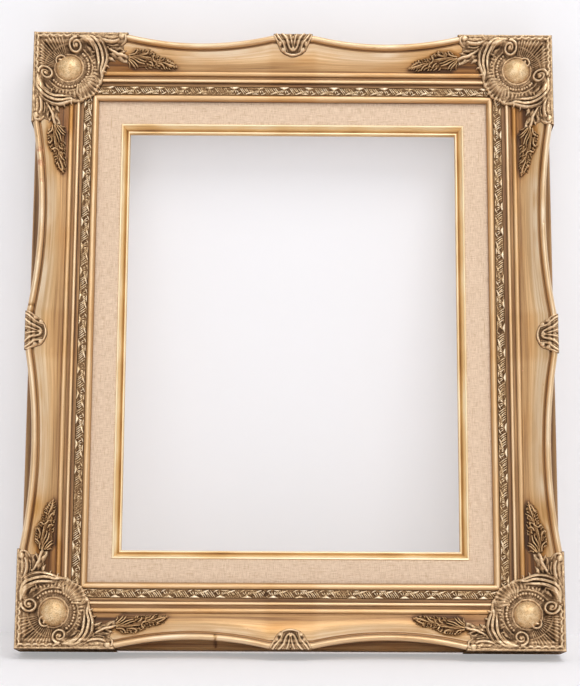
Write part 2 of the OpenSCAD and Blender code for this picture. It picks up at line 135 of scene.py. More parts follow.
class Relief:
    # carving on a plan grid: height above the wall side, and how far inside the ornament each point is

    def __init__(self, alongRange, acrossRange, step, bed):
        self.along = np.arange(alongRange[0], alongRange[1] + step / 2, step)
        self.across = np.arange(acrossRange[0], acrossRange[1] + step / 2, step)
        self.step = step
        self.a, self.b = np.meshgrid(self.along, self.across, indexing="ij")
        self.bed = bed(self.a, self.b)
        self.height = self.bed.copy()
        self.cover = np.full(self.a.shape, -9.0)

    def window(self, low, high):
        i = np.searchsorted(self.along, [low[0], high[0]])
        j = np.searchsorted(self.across, [low[1], high[1]])
        return slice(max(i[0] - 1, 0), i[1] + 1), slice(max(j[0] - 1, 0), j[1] + 1)

    def lineDistance(self, line, win):
        # distance to a line and the share of its length where the nearest point lies
        a, b = self.a[win], self.b[win]
        lengths = np.hypot(*np.diff(line, axis=0).T)
        starts = np.concatenate([[0], np.cumsum(lengths)])
        best = np.full(a.shape, 1e9)
        share = np.zeros(a.shape)
        side = np.zeros(a.shape)
        for k in range(len(line) - 1):
            p, q = line[k], line[k + 1]
            dx, dy = q - p
            size = dx * dx + dy * dy + 1e-12
            t = np.clip(((a - p[0]) * dx + (b - p[1]) * dy) / size, 0, 1)
            away = np.hypot(a - p[0] - t * dx, b - p[1] - t * dy)
            nearer = away < best
            best = np.where(nearer, away, best)
            share = np.where(nearer, (starts[k] + t * lengths[k]) / (starts[-1] + 1e-9), share)
            side = np.where(nearer, np.sign((a - p[0]) * dy - (b - p[1]) * dx), side)
        return best, share, side

    def stroke(self, points, width, height, lift=0.3, kind="round", smooth=True):
        # width and height are lists spread along the line; lift raises the stroke's edge above the bed
        line = splineThrough(points) if smooth else np.array(points, float)
        widths = np.atleast_1d(np.array(width, float))
        reach = widths.max() + 0.8
        win = self.window(line.min(axis=0) - reach, line.max(axis=0) + reach)
        away, share, side = self.lineDistance(line, win)
        w = np.interp(share, np.linspace(0, 1, len(widths)), widths) if len(widths) > 1 else widths[0]
        heights = np.atleast_1d(np.array(height, float))
        top = np.interp(share, np.linspace(0, 1, len(heights)), heights)
        q = np.clip(away / np.maximum(w, 0.05), 0, 1)
        if kind == "leaf":
            # hollow leaf with a raised rib and raised edges
            shape = np.sqrt(1 - q ** 4) * (0.62 + 0.38 * np.abs(2 * q - 1) ** 1.5)
        elif kind == "folded":
            # one flank steep and the other shallow, as a turned leaf edge
            shape = np.sqrt(1 - q ** 2) * (0.75 + 0.25 * side * np.sin(math.pi * q))
        else:
            shape = np.sqrt(1 - q ** 2)
        inside = away < w
        raised = self.bed[win] + lift + top * shape
        self.height[win] = np.where(inside, np.maximum(self.height[win], raised), self.height[win])
        self.cover[win] = np.maximum(self.cover[win], w - away)

    def groove(self, points, width, depth):
        line = splineThrough(points)
        win = self.window(line.min(axis=0) - 3 * width, line.max(axis=0) + 3 * width)
        away, share, side = self.lineDistance(line, win)
        self.height[win] -= depth * np.exp(-(away / width) ** 2)

    def bead(self, centre, radius, height, lift=0.3):
        centre = np.array(centre, float)
        win = self.window(centre - radius - 0.8, centre + radius + 0.8)
        away = np.hypot(self.a[win] - centre[0], self.b[win] - centre[1])
        shape = np.sqrt(np.clip(1 - (away / radius) ** 2, 0, 1))
        raised = self.bed[win] + lift + height * shape
        self.height[win] = np.where(away < radius, np.maximum(self.height[win], raised), self.height[win])
        self.cover[win] = np.maximum(self.cover[win], radius - away)

    def fromOutline(self, outline, win):
        # distance to a closed outline, less than zero outside it
        line = np.array(list(outline) + [outline[0]], float)
        away, share, side = self.lineDistance(line, win)
        a, b = self.a[win], self.b[win]
        inside = np.zeros(a.shape, bool)
        for p, q in zip(line[:-1], line[1:]):
            crosses = (p[1] > b) != (q[1] > b)
            with np.errstate(divide="ignore", invalid="ignore"):
                at = (q[0] - p[0]) * (b - p[1]) / (q[1] - p[1]) + p[0]
            inside ^= crosses & (a < at)
        return np.where(inside, away, -away), inside

    def plate(self, outline, thickness):
        # marks the inside of a closed outline as ornament
        signed, inside = self.fromOutline(outline, (slice(None), slice(None)))
        self.height = np.maximum(self.height, self.bed + thickness * ease(0, 1.2, signed))
        self.cover = np.maximum(self.cover, signed)

    def body(self, outline, rise, soft=1.6):
        # a raised body that other strokes are carved on
        corners = np.array(outline, float)
        win = self.window(corners.min(axis=0) - 1, corners.max(axis=0) + 1)
        signed, inside = self.fromOutline(outline, win)
        lifted = self.bed[win] + rise * ease(-0.2, soft, signed)
        self.bed[win] = np.where(inside, lifted, self.bed[win])
        self.height[win] = np.where(inside, np.maximum(self.height[win], lifted), self.height[win])
        self.cover[win] = np.maximum(self.cover[win], signed)

    def roughen(self, amount, reach, seed):
        self.height = self.height + amount * roughNoise(self.a.shape, reach, seed)

    def roundEdge(self, inward, size):
        self.height = self.height - size * np.clip(1 - inward / size, 0, 1) ** 2

    def finished(self, ground, top, sink=1.0):
        # sinks everything outside the ornament below the wood, and rounds off what is too high
        shown = ease(-0.25, 0.6, self.cover)
        z = self.height
        over = z - (top - 1)
        z = np.where(over > 0, top - 1 + (1 - np.exp(-np.clip(over, 0, 9))), z)
        under = ground - sink
        z = under + (z - under) * shown
        keep = self.cover > -0.7
        crestReach = max(2, int(round(1.3 / self.step)))
        wideReach = max(3, int(round(3.2 / self.step)))
        flat = np.where(self.cover > -0.2, z, ground)
        # crest: low in hollows, high on raised parts; it paints shade in the hollows and highlights on the
        # crests
        crest = 0.5 + 0.36 * (flat - blurred(flat, crestReach)) + 0.12 * (flat - blurred(flat, wideReach))
        return z, keep, np.clip(crest, 0, 1)


def gridQuads(rows, cols, keep=None):
    index = np.arange(rows * cols).reshape(rows, cols)
    quads = np.stack([index[:-1, :-1], index[1:, :-1], index[1:, 1:], index[:-1, 1:]], axis=-1)
    if keep is not None:
        quads = quads[keep[:-1, :-1] | keep[1:, :-1] | keep[1:, 1:] | keep[:-1, 1:]]
    return quads.reshape(-1, 4)


def barFaces(count, cols):
    # a closed section drawn along a length, with its two ends
    first = np.arange(count - 1) * cols
    closing = np.stack([first + cols - 1, first + 2 * cols - 1, first + cols, first], axis=-1)
    ends = [list(range(cols))[::-1], [(count - 1) * cols + j for j in range(cols)]]
    return np.vstack([gridQuads(count, cols), closing]).tolist() + ends


def mitredGrid(side, insets, first, step):
    # places along a side, with both ends cut on the mitre
    count = int(2 * (halfLength[side] - first) / step)
    return np.linspace(-1, 1, count)[:, None] * (halfLength[side] - insets)


def grainPlace(x, across, offset):
    # where the streaks and threads of a finish are looked up
    place = np.stack([x, np.broadcast_to(across, x.shape), np.full(x.shape, offset)], axis=-1)
    return place.reshape(-1, 3)


def joined(grids):
    # several grids of places, quads and crests as one
    offsets = np.cumsum([0] + [len(places) for places, quads, crest in grids[:-1]])
    places = np.vstack([grid[0] for grid in grids])
    quads = np.vstack([grid[1] + offset for grid, offset in zip(grids, offsets)])
    return places, quads, np.concatenate([grid[2] for grid in grids])


def makePiece(name, places, faces, materials, attributes=None, faceMaterial=None):
    # places in millimetres; faces are lists of corner numbers; attributes are one value a point
    places = np.asarray(places, float)
    faces = [[int(corner) for corner in face] for face in faces]
    used = np.zeros(len(places), bool)
    used[np.fromiter((i for f in faces for i in f), int)] = True
    renumber = np.cumsum(used) - 1
    mesh = bpy.data.meshes.new(name)
    mesh.from_pydata((places[used] * toMetres).tolist(), [], [[int(renumber[i]) for i in f] for f in faces])
    for key, values in (attributes or {}).items():
        values = np.asarray(values, np.float32)[used]
        if values.ndim == 1:
            layer = mesh.attributes.new(key, "FLOAT", "POINT")
            layer.data.foreach_set("value", values)
        else:
            layer = mesh.attributes.new(key, "FLOAT_VECTOR", "POINT")
            layer.data.foreach_set("vector", values.ravel())
    for material in materials:
        mesh.materials.append(material)
    if faceMaterial is not None:
        mesh.polygons.foreach_set("material_index", np.asarray(faceMaterial, np.int32))
    mesh.polygons.foreach_set("use_smooth", [True] * len(mesh.polygons))
    mesh.update()
    piece = bpy.data.objects.new(name, mesh)
    bpy.context.scene.collection.objects.link(piece)
    return piece


def settle(piece, node):
    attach(piece, "frame")
    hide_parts(node)


# Finishes

def paint(red, green, blue):
    # a colour as a paint chart gives it, 0 to 255
    values = [c / 255 for c in (red, green, blue)]
    return tuple(c / 12.92 if c <= 0.04045 else ((c + 0.055) / 1.055) ** 2.4 for c in values) + (1.0,)


class Finish:
    # short hand for a material and its nodes

    def __init__(self, name, **shaderValues):
        self.material = bpy.data.materials.new(name)
        self.material.use_nodes = True
        self.tree = self.material.node_tree
        self.shader = self.tree.nodes["Principled BSDF"]
        for key, value in shaderValues.items():
            self.shader.inputs[key.replace("_", " ")].default_value = value

    def add(self, kind, inputs=None, **options):
        made = self.tree.nodes.new("ShaderNode" + kind)
        for key, value in options.items():
            setattr(made, key, value)
        for key, value in (inputs or {}).items():
            self.put(value, made.inputs[key])
        return made

    def put(self, value, socket):
        if isinstance(value, bpy.types.NodeSocket):
            self.tree.links.new(value, socket)
        else:
            socket.default_value = value

    def attribute(self, name, output="Fac"):
        return self.add("Attribute", attribute_name=name).outputs[output]

    def stretched(self, place, factors):
        return self.add("VectorMath", {0: place, 1: factors}, operation="MULTIPLY").outputs[0]

    def noise(self, place, scale, detail=4, roughness=0.6, distortion=0.0):
        inputs = {"Vector": place, "Scale": scale, "Detail": detail, "Roughness": roughness,
                  "Distortion": distortion}
        return self.add("TexNoise", inputs).outputs["Fac"]

    def streaks(self, place, factors, detail, roughness=0.6, distortion=0.0):
        return self.noise(self.stretched(place, factors), 1.0, detail, roughness, distortion)

    def sway(self, value, amount):
        return self.spread(value, 0.3, 0.7, -amount, amount)

    def maths(self, operation, a, b=0.0, clamp=False):
        return self.add("Math", {0: a, 1: b}, operation=operation, use_clamp=clamp).outputs[0]

    def spread(self, value, low, high, toLow=0.0, toHigh=1.0):
        return self.add("MapRange", {"Value": value, "From Min": low, "From Max": high, "To Min": toLow,
                                     "To Max": toHigh}).outputs[0]

    def ramp(self, value, stops):
        # each stop is its place and a paint colour
        made = self.add("ValToRGB", {"Fac": value})
        bar = made.color_ramp
        while len(bar.elements) < len(stops):
            bar.elements.new(0.5)
        for element, (at, *colour) in zip(bar.elements, stops):
            element.position = at
            element.color = paint(*colour)
        return made.outputs["Color"]

    def mixed(self, share, first, second, blend="MIX"):
        made = self.add("Mix", data_type="RGBA", blend_type=blend)
        self.put(share, made.inputs[0])
        self.put(first, made.inputs[6])
        self.put(second, made.inputs[7])
        return made.outputs[2]

    def bump(self, height, depthMm, strength=1.0, after=None):
        made = self.add("Bump", {"Height": height, "Distance": depthMm * toMetres, "Strength": strength})
        if after is not None:
            self.tree.links.new(after, made.inputs["Normal"])
        return made.outputs["Normal"]

    def set(self, **inputs):
        for key, value in inputs.items():
            self.put(value, self.shader.inputs[key.replace("_", " ")])


def makeGiltWood():
    # burnished champagne leaf over bole: painted highlights and shade follow the profile, streaks follow the
    # length
    f = Finish("giltWood", Metallic=0.5, Specular_IOR_Level=0.45)
    place = f.attribute("place", "Vector")
    tone = f.attribute("tone")
    worn = f.attribute("worn")
    stain = f.attribute("stain")
    fine = f.streaks(place, (0.02, 2.3, 1), 5, 0.7)
    broad = f.streaks(place, (0.008, 0.42, 1), 4, 0.6)
    cloud = f.streaks(place, (0.02, 0.07, 1), 3, 0.5)
    shade = f.maths("ADD", tone, f.sway(fine, 0.12))
    shade = f.maths("ADD", shade, f.spread(broad, 0.3, 0.7, -0.15, 0.12))
    # painted shade and glaze near the castings darken the leaf
    shade = f.maths("SUBTRACT", shade, f.maths("MULTIPLY", stain, 0.13), clamp=True)
    leaf = f.ramp(shade, [(0.0, 66, 42, 22), (0.2, 126, 90, 58), (0.42, 178, 138, 92),
                          (0.62, 212, 172, 124), (0.8, 234, 200, 156), (1.0, 252, 230, 198)])
    warm = f.maths("ADD", f.spread(cloud, 0.5, 0.74, 0, 0.35), f.maths("MULTIPLY", stain, 0.6), clamp=True)
    leaf = f.mixed(warm, leaf, f.mixed(1.0, leaf, paint(240, 203, 116), "MULTIPLY"))
    fleck = f.streaks(place, (0.9, 1.1, 1), 2, 0.5)
    leaf = f.mixed(f.spread(fleck, 0.71, 0.77, 0, 0.6), leaf, paint(96, 62, 34))
    ragged = f.maths("ADD", worn, f.sway(f.noise(place, 0.8, 4, 0.6), 0.3))
    leaf = f.mixed(f.spread(ragged, 0.4, 0.6), leaf, paint(212, 158, 120))
    leaf = f.mixed(f.spread(ragged, 0.9, 1.0), leaf, paint(84, 44, 28))
    f.set(Base_Color=leaf, Roughness=f.spread(broad, 0.25, 0.75, 0.3, 0.48))
    normal = f.bump(fine, 0.12, 0.6)
    f.set(Normal=f.bump(f.streaks(place, (0.4, 0.8, 1), 3, 0.5), 0.15, 0.5, normal))
    return f.material


def makeGiltCasting(name, crestColours, metal=0.5):
    # dark wash in the hollows and rubbed leaf on the crests, with painted shade in the hollows and painted
    # highlights on the crests
    f = Finish(name, Metallic=metal, Specular_IOR_Level=0.4)
    place = f.add("TexCoord").outputs["Object"]
    crest = f.attribute("crest")
    grime = f.noise(place, 260, 4, 0.6)
    rub = f.noise(place, 1500, 3, 0.6)
    shade = f.maths("ADD", crest, f.sway(grime, 0.07))
    shade = f.maths("ADD", shade, f.sway(rub, 0.05), clamp=True)
    colour = f.ramp(shade, crestColours)
    f.set(Base_Color=colour, Roughness=f.spread(shade, 0.2, 0.8, 0.6, 0.36))
    normal = f.bump(rub, 0.07, 0.6)
    f.set(Normal=f.bump(f.noise(place, 600, 3, 0.55), 0.12, 0.5, normal))
    return f.material


def makeCabochonLeaf():
    # bright speckled leaf on the domes
    f = Finish("giltCabochon", Metallic=0.45, Specular_IOR_Level=0.4, Roughness=0.52)
    place = f.add("TexCoord").outputs["Object"]
    cloud = f.noise(place, 240, 4, 0.6)
    speck = f.noise(place, 1150, 3, 0.7)
    colour = f.ramp(cloud, [(0.3, 206, 166, 116), (0.5, 230, 196, 148), (0.7, 246, 220, 178)])
    colour = f.mixed(f.spread(speck, 0.53, 0.66, 0, 0.8), colour, paint(140, 100, 56))
    f.set(Base_Color=colour, Normal=f.bump(speck, 0.12, 0.6))
    return f.material


def makeLinen():
    # natural cloth: uneven threads both ways, with slubs
    f = Finish("linenCloth", Roughness=0.9, Specular_IOR_Level=0.2, Sheen_Weight=0.15)
    place = f.attribute("place", "Vector")
    warp = f.streaks(place, (0.16, 1.9, 1), 4, 0.65)
    weft = f.streaks(place, (1.9, 0.16, 7), 4, 0.65)
    slub = f.streaks(place, (0.07, 1.1, 3), 2, 0.5)
    threads = f.maths("ADD", f.maths("MULTIPLY", warp, 0.5), f.maths("MULTIPLY", weft, 0.5))
    colour = f.ramp(threads, [(0.34, 190, 158, 126), (0.5, 223, 196, 169), (0.66, 242, 219, 195)])
    colour = f.mixed(f.spread(slub, 0.6, 0.72, 0, 0.6), colour, paint(194, 158, 122))
    speck = f.streaks(place, (1.1, 1.3, 2), 2, 0.5)
    colour = f.mixed(f.spread(speck, 0.7, 0.76, 0, 0.5), colour, paint(176, 134, 96))
    f.set(Base_Color=colour)
    thread = {"Vector": place, "Scale": 0.22, "Distortion": 1.2, "Detail": 2.0}
    over = f.add("TexWave", thread, bands_direction="X")
    under = f.add("TexWave", thread, bands_direction="Y")
    weave = f.maths("MAXIMUM", over.outputs["Fac"], under.outputs["Fac"])
    normal = f.bump(weave, 0.16, 0.7)
    f.set(Normal=f.bump(threads, 0.5, 0.6, normal))
    return f.material


def makeGiltSlip():
    # the slip's painted highlights and shade come from its section
    f = Finish("giltSlip", Metallic=0.42, Specular_IOR_Level=0.5)
    place = f.attribute("place", "Vector")
    tone = f.attribute("tone")
    fine = f.streaks(place, (0.05, 2.5, 1), 4, 0.6)
    shade = f.maths("ADD", tone, f.sway(fine, 0.08), clamp=True)
    colour = f.ramp(shade, [(0.0, 112, 72, 32), (0.3, 186, 136, 76), (0.6, 224, 180, 116),
                            (0.8, 244, 208, 150), (1.0, 255, 236, 196)])
    f.set(Base_Color=colour, Roughness=f.spread(fine, 0.3, 0.7, 0.27, 0.4))
    f.set(Normal=f.bump(fine, 0.08, 0.5))
    return f.material


def makeBareWood(name, alongAxis):
    # unpainted pine of the back, rebate and liner, with the grain along the piece
    f = Finish(name, Roughness=0.72, Specular_IOR_Level=0.25)
    place = f.add("TexCoord").outputs["Object"]
    lengthwise = (14, 160, 160) if alongAxis == 0 else (160, 160, 14)
    fibres = (90, 2600, 2600) if alongAxis == 0 else (2600, 2600, 90)
    ring = f.streaks(place, lengthwise, 3, 0.5, 0.6)
    grain = f.streaks(place, fibres, 3, 0.6)
    bands = f.maths("PINGPONG", f.maths("MULTIPLY", ring, 7.0), 1.0)
    mix = f.maths("ADD", f.maths("MULTIPLY", bands, 0.6), f.maths("MULTIPLY", grain, 0.4))
    colour = f.ramp(mix, [(0.15, 226, 196, 154), (0.55, 212, 176, 130), (0.9, 184, 142, 96)])
    f.set(Base_Color=colour, Normal=f.bump(mix, 0.08, 0.4))
    return f.material


def makeZincSteel():
    f = Finish("zincSteel", Metallic=1.0)
    place = f.add("TexCoord").outputs["Object"]
    cloud = f.noise(place, 180, 4, 0.6)
    scratch = f.streaks(place, (3000, 3000, 300), 2, 0.5)
    colour = f.ramp(cloud, [(0.3, 160, 162, 166), (0.7, 206, 206, 204)])
    f.set(Base_Color=colour, Roughness=f.spread(scratch, 0.3, 0.7, 0.28, 0.46))
    f.set(Normal=f.bump(scratch, 0.03, 0.4))
    return f.material


# ramps from hollow to crest: dark wash with painted shade, up to painted highlight
bronzeCrests = [(0.0, 66, 45, 27), (0.3, 122, 93, 64), (0.46, 160, 129, 95), (0.58, 184, 151, 114),
                (0.76, 216, 183, 141), (1.0, 246, 217, 178)]
sprayCrests = [(0.0, 48, 29, 13), (0.3, 84, 54, 28), (0.46, 108, 74, 42), (0.6, 138, 102, 64),
               (0.78, 182, 144, 98), (1.0, 226, 190, 144)]
courseCrests = [(0.0, 84, 56, 30), (0.3, 128, 96, 62), (0.5, 168, 134, 94), (0.68, 206, 174, 130),
                (0.85, 240, 210, 168), (1.0, 254, 234, 202)]
giltWood = makeGiltWood()
giltCasting = makeGiltCasting("giltCasting", bronzeCrests)
giltSpray = makeGiltCasting("giltSpray", sprayCrests)
giltCourse = makeGiltCasting("giltCourse", courseCrests, 0.45)
giltCabochon = makeCabochonLeaf()
linenCloth = makeLinen()
giltSlip = makeGiltSlip()
bareWood = [makeBareWood("bareWoodAcross", 0), makeBareWood("bareWoodUpright", 2)]
zincSteel = makeZincSteel()
print("made the finishes")


# Moulding rails

moulding = {
    "lengthStep": 1.4,
    "sweepInset": 6.8,
    "sweepDrop": 0.18,
    "sweepStart": 17,
    "waviness": 0.05,
    # stretches of the profile: distance in, height, share of the sweep, and the leaf's painted light:
    # highlights on the beads, shade in the quirks, grooves, outer side and inner scoop
    "stretches": [
        ("flat", [(1.2, 0, 0, 0.38), (1.2, 20, 0, 0.5)]),
        ("curved", [(1.2, 20, 0, 0.5), (1.7, 21.8, 0.1, 0.36), (3.2, 25, 0.4, 0.26), (3, 30, 0.75, 0.3),
                    (1.6, 35, 1, 0.5), (1.2, 38, 1, 0.7), (1.6, 40.6, 1, 0.8), (3.4, 42, 1, 0.85),
                    (5, 41.3, 1, 0.83), (5.8, 39.4, 1, 0.6), (6.3, 37.5, 1, 0.12)]),
        ("flat", [(6.3, 37.5, 1, 0.12), (7.1, 37.2, 1, 0.42), (8, 38, 1, 0.9)]),
        ("curved", [(8, 38, 1, 0.92), (10.9, 35.6, 0.9, 0.9), (14.2, 33.2, 0.75, 0.84),
                    (18.4, 31.1, 0.5, 0.68), (23.6, 29.5, 0.2, 0.46), (28.8, 28.5, 0, 0.34)]),
        ("curved", [(28.8, 28.5, 0, 0.24), (29.4, 29.5, 0, 0.5), (30.8, 29.9, 0, 0.66),
                    (32.6, 29.1, 0, 0.52), (33, 27.2, 0, 0.2)]),
        ("flat", [(33, 27.2, 0, 0.28), (34.9, 27.1, 0, 0.3)]),
        ("curved", [(34.9, 27.1, 0, 0.3), (35.6, 28.3, 0, 0.7), (36.6, 28.6, 0, 0.83), (37.7, 27.9, 0, 0.6),
                    (38, 25.2, 0, 0.1)]),
        ("flat", [(38, 25.2, 0, 0.14), (40.6, 25, 0, 0.3), (40.7, 24.2, 0, 0.1), (48, 24.2, 0, 0.15),
                  (48.2, 25.5, 0, 0.5)]),
        ("curved", [(48.2, 25.5, 0, 0.48), (49.7, 26.3, 0, 0.75), (51.7, 25.7, 0, 0.68),
                    (53, 23.4, 0, 0.38)]),
        ("flat", [(53, 23.4, 0, 0.3), (53, 21.3, 0, 0.2)]),
        ("wood", [(53, 21.3, 0, 0), (46, 21.3, 0, 0), (46, 0, 0, 0), (1.2, 0, 0, 0)]),
    ],
    # dents and chips seen in the photo: side, along, in from the edge, size, depth, how far the leaf is gone
    "wear": [
        ("left", -150, 4.2, 4.0, 0.3, 0.7), ("left", -139, 3.0, 5.0, 0.3, 0.72),
        ("left", -124, 4.4, 3.0, 0.25, 0.6), ("left", 12, 20.0, 1.3, 0.35, 0.5),
        ("right", -28, 27.5, 1.4, 0.35, 0.6), ("right", -30, 16.0, 1.2, 0.3, 0.5),
        ("top", 47, 16.5, 1.1, 0.25, 0.8), ("top", -50, 15.0, 0.9, 0.2, 0.6),
        ("bottom", -33, 15.0, 1.1, 0.25, 0.8), ("bottom", 60, 25.0, 1.0, 0.2, 0.5),
        ("right", 92, 3.2, 2.2, 0.3, 0.55), ("top", -92, 3.0, 1.8, 0.25, 0.45),
    ],
    # painted shadow round the leaf sprays: along from the corner, outer and inner edge
    "sprayShadow": [(76, 15.0, 23.5), (82, 12.5, 27.7), (93, 13.1, 27.4), (102, 17.9, 27.8),
                    (111, 20.6, 27.9), (118, 25.8, 26.4)],
    # how much glaze and painted shade each side holds near the castings, and how much painted shade darkens
    # its scoop
    "dimmer": {"bottom": 0.07, "left": 0.03},
    "stained": {"top": 1.0, "left": 0.9, "right": 0.85, "bottom": 0.3},
    # fine marks across the rim: side, along
    "jointMarks": [("left", -21.2), ("left", -15.6), ("bottom", -58.0)],
    "glazeShade": 0.26,
    "sharpFold": math.radians(38),
}


def sweepAt(x, half):
    t = (np.abs(x) - moulding["sweepStart"]) / (half - cornerArm - moulding["sweepStart"])
    return np.where((t > 0) & (t < 1), moulding["sweepInset"] * 4 * t * (1 - t), 0)


def profilePoints():
    rows = []
    woods = []
    for kind, points in moulding["stretches"]:
        pieces = {"flat": 3, "curved": 7, "wood": 1}[kind]
        line = splineThrough(points, pieces) if kind == "curved" else np.array(points, float)
        if kind == "flat":
            line = np.vstack([splineThrough(points[i:i + 2], pieces)[:-1] for i in range(len(points) - 1)]
                             + [np.array([points[-1]])])
        if rows and np.allclose(line[0][:2], rows[-1][:2]) and abs(line[0][3] - rows[-1][3]) < 0.05:
            line = line[1:]
        rows.extend(line.tolist())
        woods.extend([kind == "wood"] * len(line))
    return np.array(rows[:-1]), np.array(woods[:-1])


def arcAlong(section):
    # length run through along a section, from its first point
    return np.concatenate([[0], np.cumsum(np.hypot(*np.diff(section[:, :2], axis=0).T))])


profile, profileIsWood = profilePoints()
profileArc = arcAlong(profile)
faceStart = int(np.argmax(profile[:, 1] >= 41.9))
faceEnd = int(np.argmax(profile[:, 0] >= 53))


def groundAt(d, e=0.0):
    # height of the wood's face; points of the profile move with the sweep
    face = profile[faceStart:faceEnd]
    d = np.asarray(d, float)
    if np.isscalar(e) and e == 0:
        return np.interp(d, face[:, 0], face[:, 1])
    e = np.broadcast_to(e, d.shape)
    levels = np.linspace(0, moulding["sweepInset"], 15)
    tables = np.array([np.interp(d.ravel(), face[:, 0] + face[:, 2] * s,
                                 face[:, 1] - face[:, 2] * s * moulding["sweepDrop"]) for s in levels])
    at = np.clip(e.ravel() / moulding["sweepInset"] * 14, 0, 13.999)
    low = at.astype(int)
    cols = np.arange(d.size)
    mixed = tables[low, cols] * (1 - at + low) + tables[low + 1, cols] * (at - low)
    return mixed.reshape(d.shape)


def buildRail(side, seed):
    half = halfLength[side]
    x = mitredGrid(side, profile[:, 0], 0, moulding["lengthStep"])
    count, cols = x.shape
    e = sweepAt(x, half)
    d = profile[:, 0] + profile[:, 2] * e
    h = profile[:, 1] - profile[:, 2] * e * moulding["sweepDrop"]
    isFace = (profile[:, 1] > 22) & ~profileIsWood
    wavy = roughNoise(x.shape, 9, seed)
    h = h + np.where(isFace, moulding["waviness"] * wavy, 0)
    scoop = (profile[:, 0] > 9) & (profile[:, 0] < 26)
    # painted highlight and shade along the profile, with painted shade on the scoop of the bottom and left
    # sides
    tone = np.broadcast_to(profile[:, 3], x.shape) - moulding["dimmer"].get(side, 0) * scoop
    worn = np.zeros(x.shape)
    ragged = roughNoise(x.shape, 1, seed + 5)
    for where, along, inward, size, depth, gone in moulding["wear"]:
        if where == side:
            shift = sweepAt(along, half) * np.interp(inward, (3, 24), (1, 0.2))
            away = np.hypot(x - along, d - shift - inward)
            dent = np.exp(-(away / size) ** 2 * 1.4)
            h = h - np.where(isFace, dent * depth * (1 + 0.3 * ragged), 0)
            worn = np.maximum(worn, np.where(isFace, dent * gone, 0))
    rim = (profile[:, 0] < 6.5) & isFace
    for where, along in moulding["jointMarks"]:
        if where == side:
            cut = np.exp(-((x - along) / 0.8) ** 2)
            h = h - np.where(rim, cut * 0.5, 0)
            tone = tone - np.where(rim, cut * 0.6, 0)
    # darker, warmer glaze with painted shade round the castings, the leaf sprays and the centre shells
    gap = half - np.abs(x)
    cloudy = 1 + 0.35 * roughNoise(x.shape, 12, seed + 21)
    nearCorner = 1 - ease(70, 92, gap)
    lowPart = ease(10, 20, d)
    nearSpray = np.exp(-((gap - 96) / 24) ** 4 - ((d - 21) / 11) ** 4)
    glazeAndShadeZone = (d > 7) & (d < 34) & isFace
    stain = (nearCorner * (0.45 + 0.55 * lowPart) + 0.8 * nearSpray) * cloudy * moulding["stained"][side]
    besideShell = np.where(isFace & (d > 8) & (np.abs(x) < 24), 0.25 * (1 - ease(15, 24, np.abs(x))), 0)
    stain = np.maximum(np.clip(stain, 0, 1) * glazeAndShadeZone, besideShell)
    # painted shadow of the leaf sprays on the scoop
    shadowAt, outerEdge, innerEdge = np.array(moulding["sprayShadow"]).T
    inside = np.minimum(d - np.interp(gap, shadowAt, outerEdge), np.interp(gap, shadowAt, innerEdge) - d)
    sprayShadowMask = ease(-2.6, -0.2, inside) * (1 - ease(116, 121, gap)) * isFace
    tone = tone - moulding["glazeShade"] * sprayShadowMask * np.clip(0.8 * cloudy, 0.3, 1.2)
    # rubbed patches along the rim and small dark nicks on the beads
    rub = roughNoise((count, 1), 4, seed + 9)
    nicks = ease(2.6, 3.4, roughNoise(x.shape, 1, seed + 11))
    beads = (profile[:, 3] > 0.82) & (profile[:, 0] < 12)
    tone = tone + np.where(beads, 0.05 * rub - 0.35 * nicks, 0)
    h = h - np.where(beads, 0.12 * nicks, 0)
    places = onSide(side, x, d, h).reshape(-1, 3)
    faces = barFaces(count, cols)
    faceIsWood = [profileIsWood[face[0] % cols] or profileIsWood[face[3] % cols] for face in faces[:-2]]
    values = {"place": grainPlace(x, profileArc, seed * 7.0), "tone": np.clip(tone, 0, 1).ravel(),
              "worn": worn.ravel(), "stain": stain.ravel()}
    piece = makePiece("rail_" + side + "_gilded", places, faces,
                      [giltWood, bareWood[side in ("left", "right")]],
                      values, [int(isWood) for isWood in faceIsWood + [True, True]])
    piece.data.set_sharp_from_angle(angle=moulding["sharpFold"])
    settle(piece, "rail_" + side)


for number, sideName in enumerate(sideNames):
    buildRail(sideName, 11 + number)
print("built the moulding rails")


# Corner castings

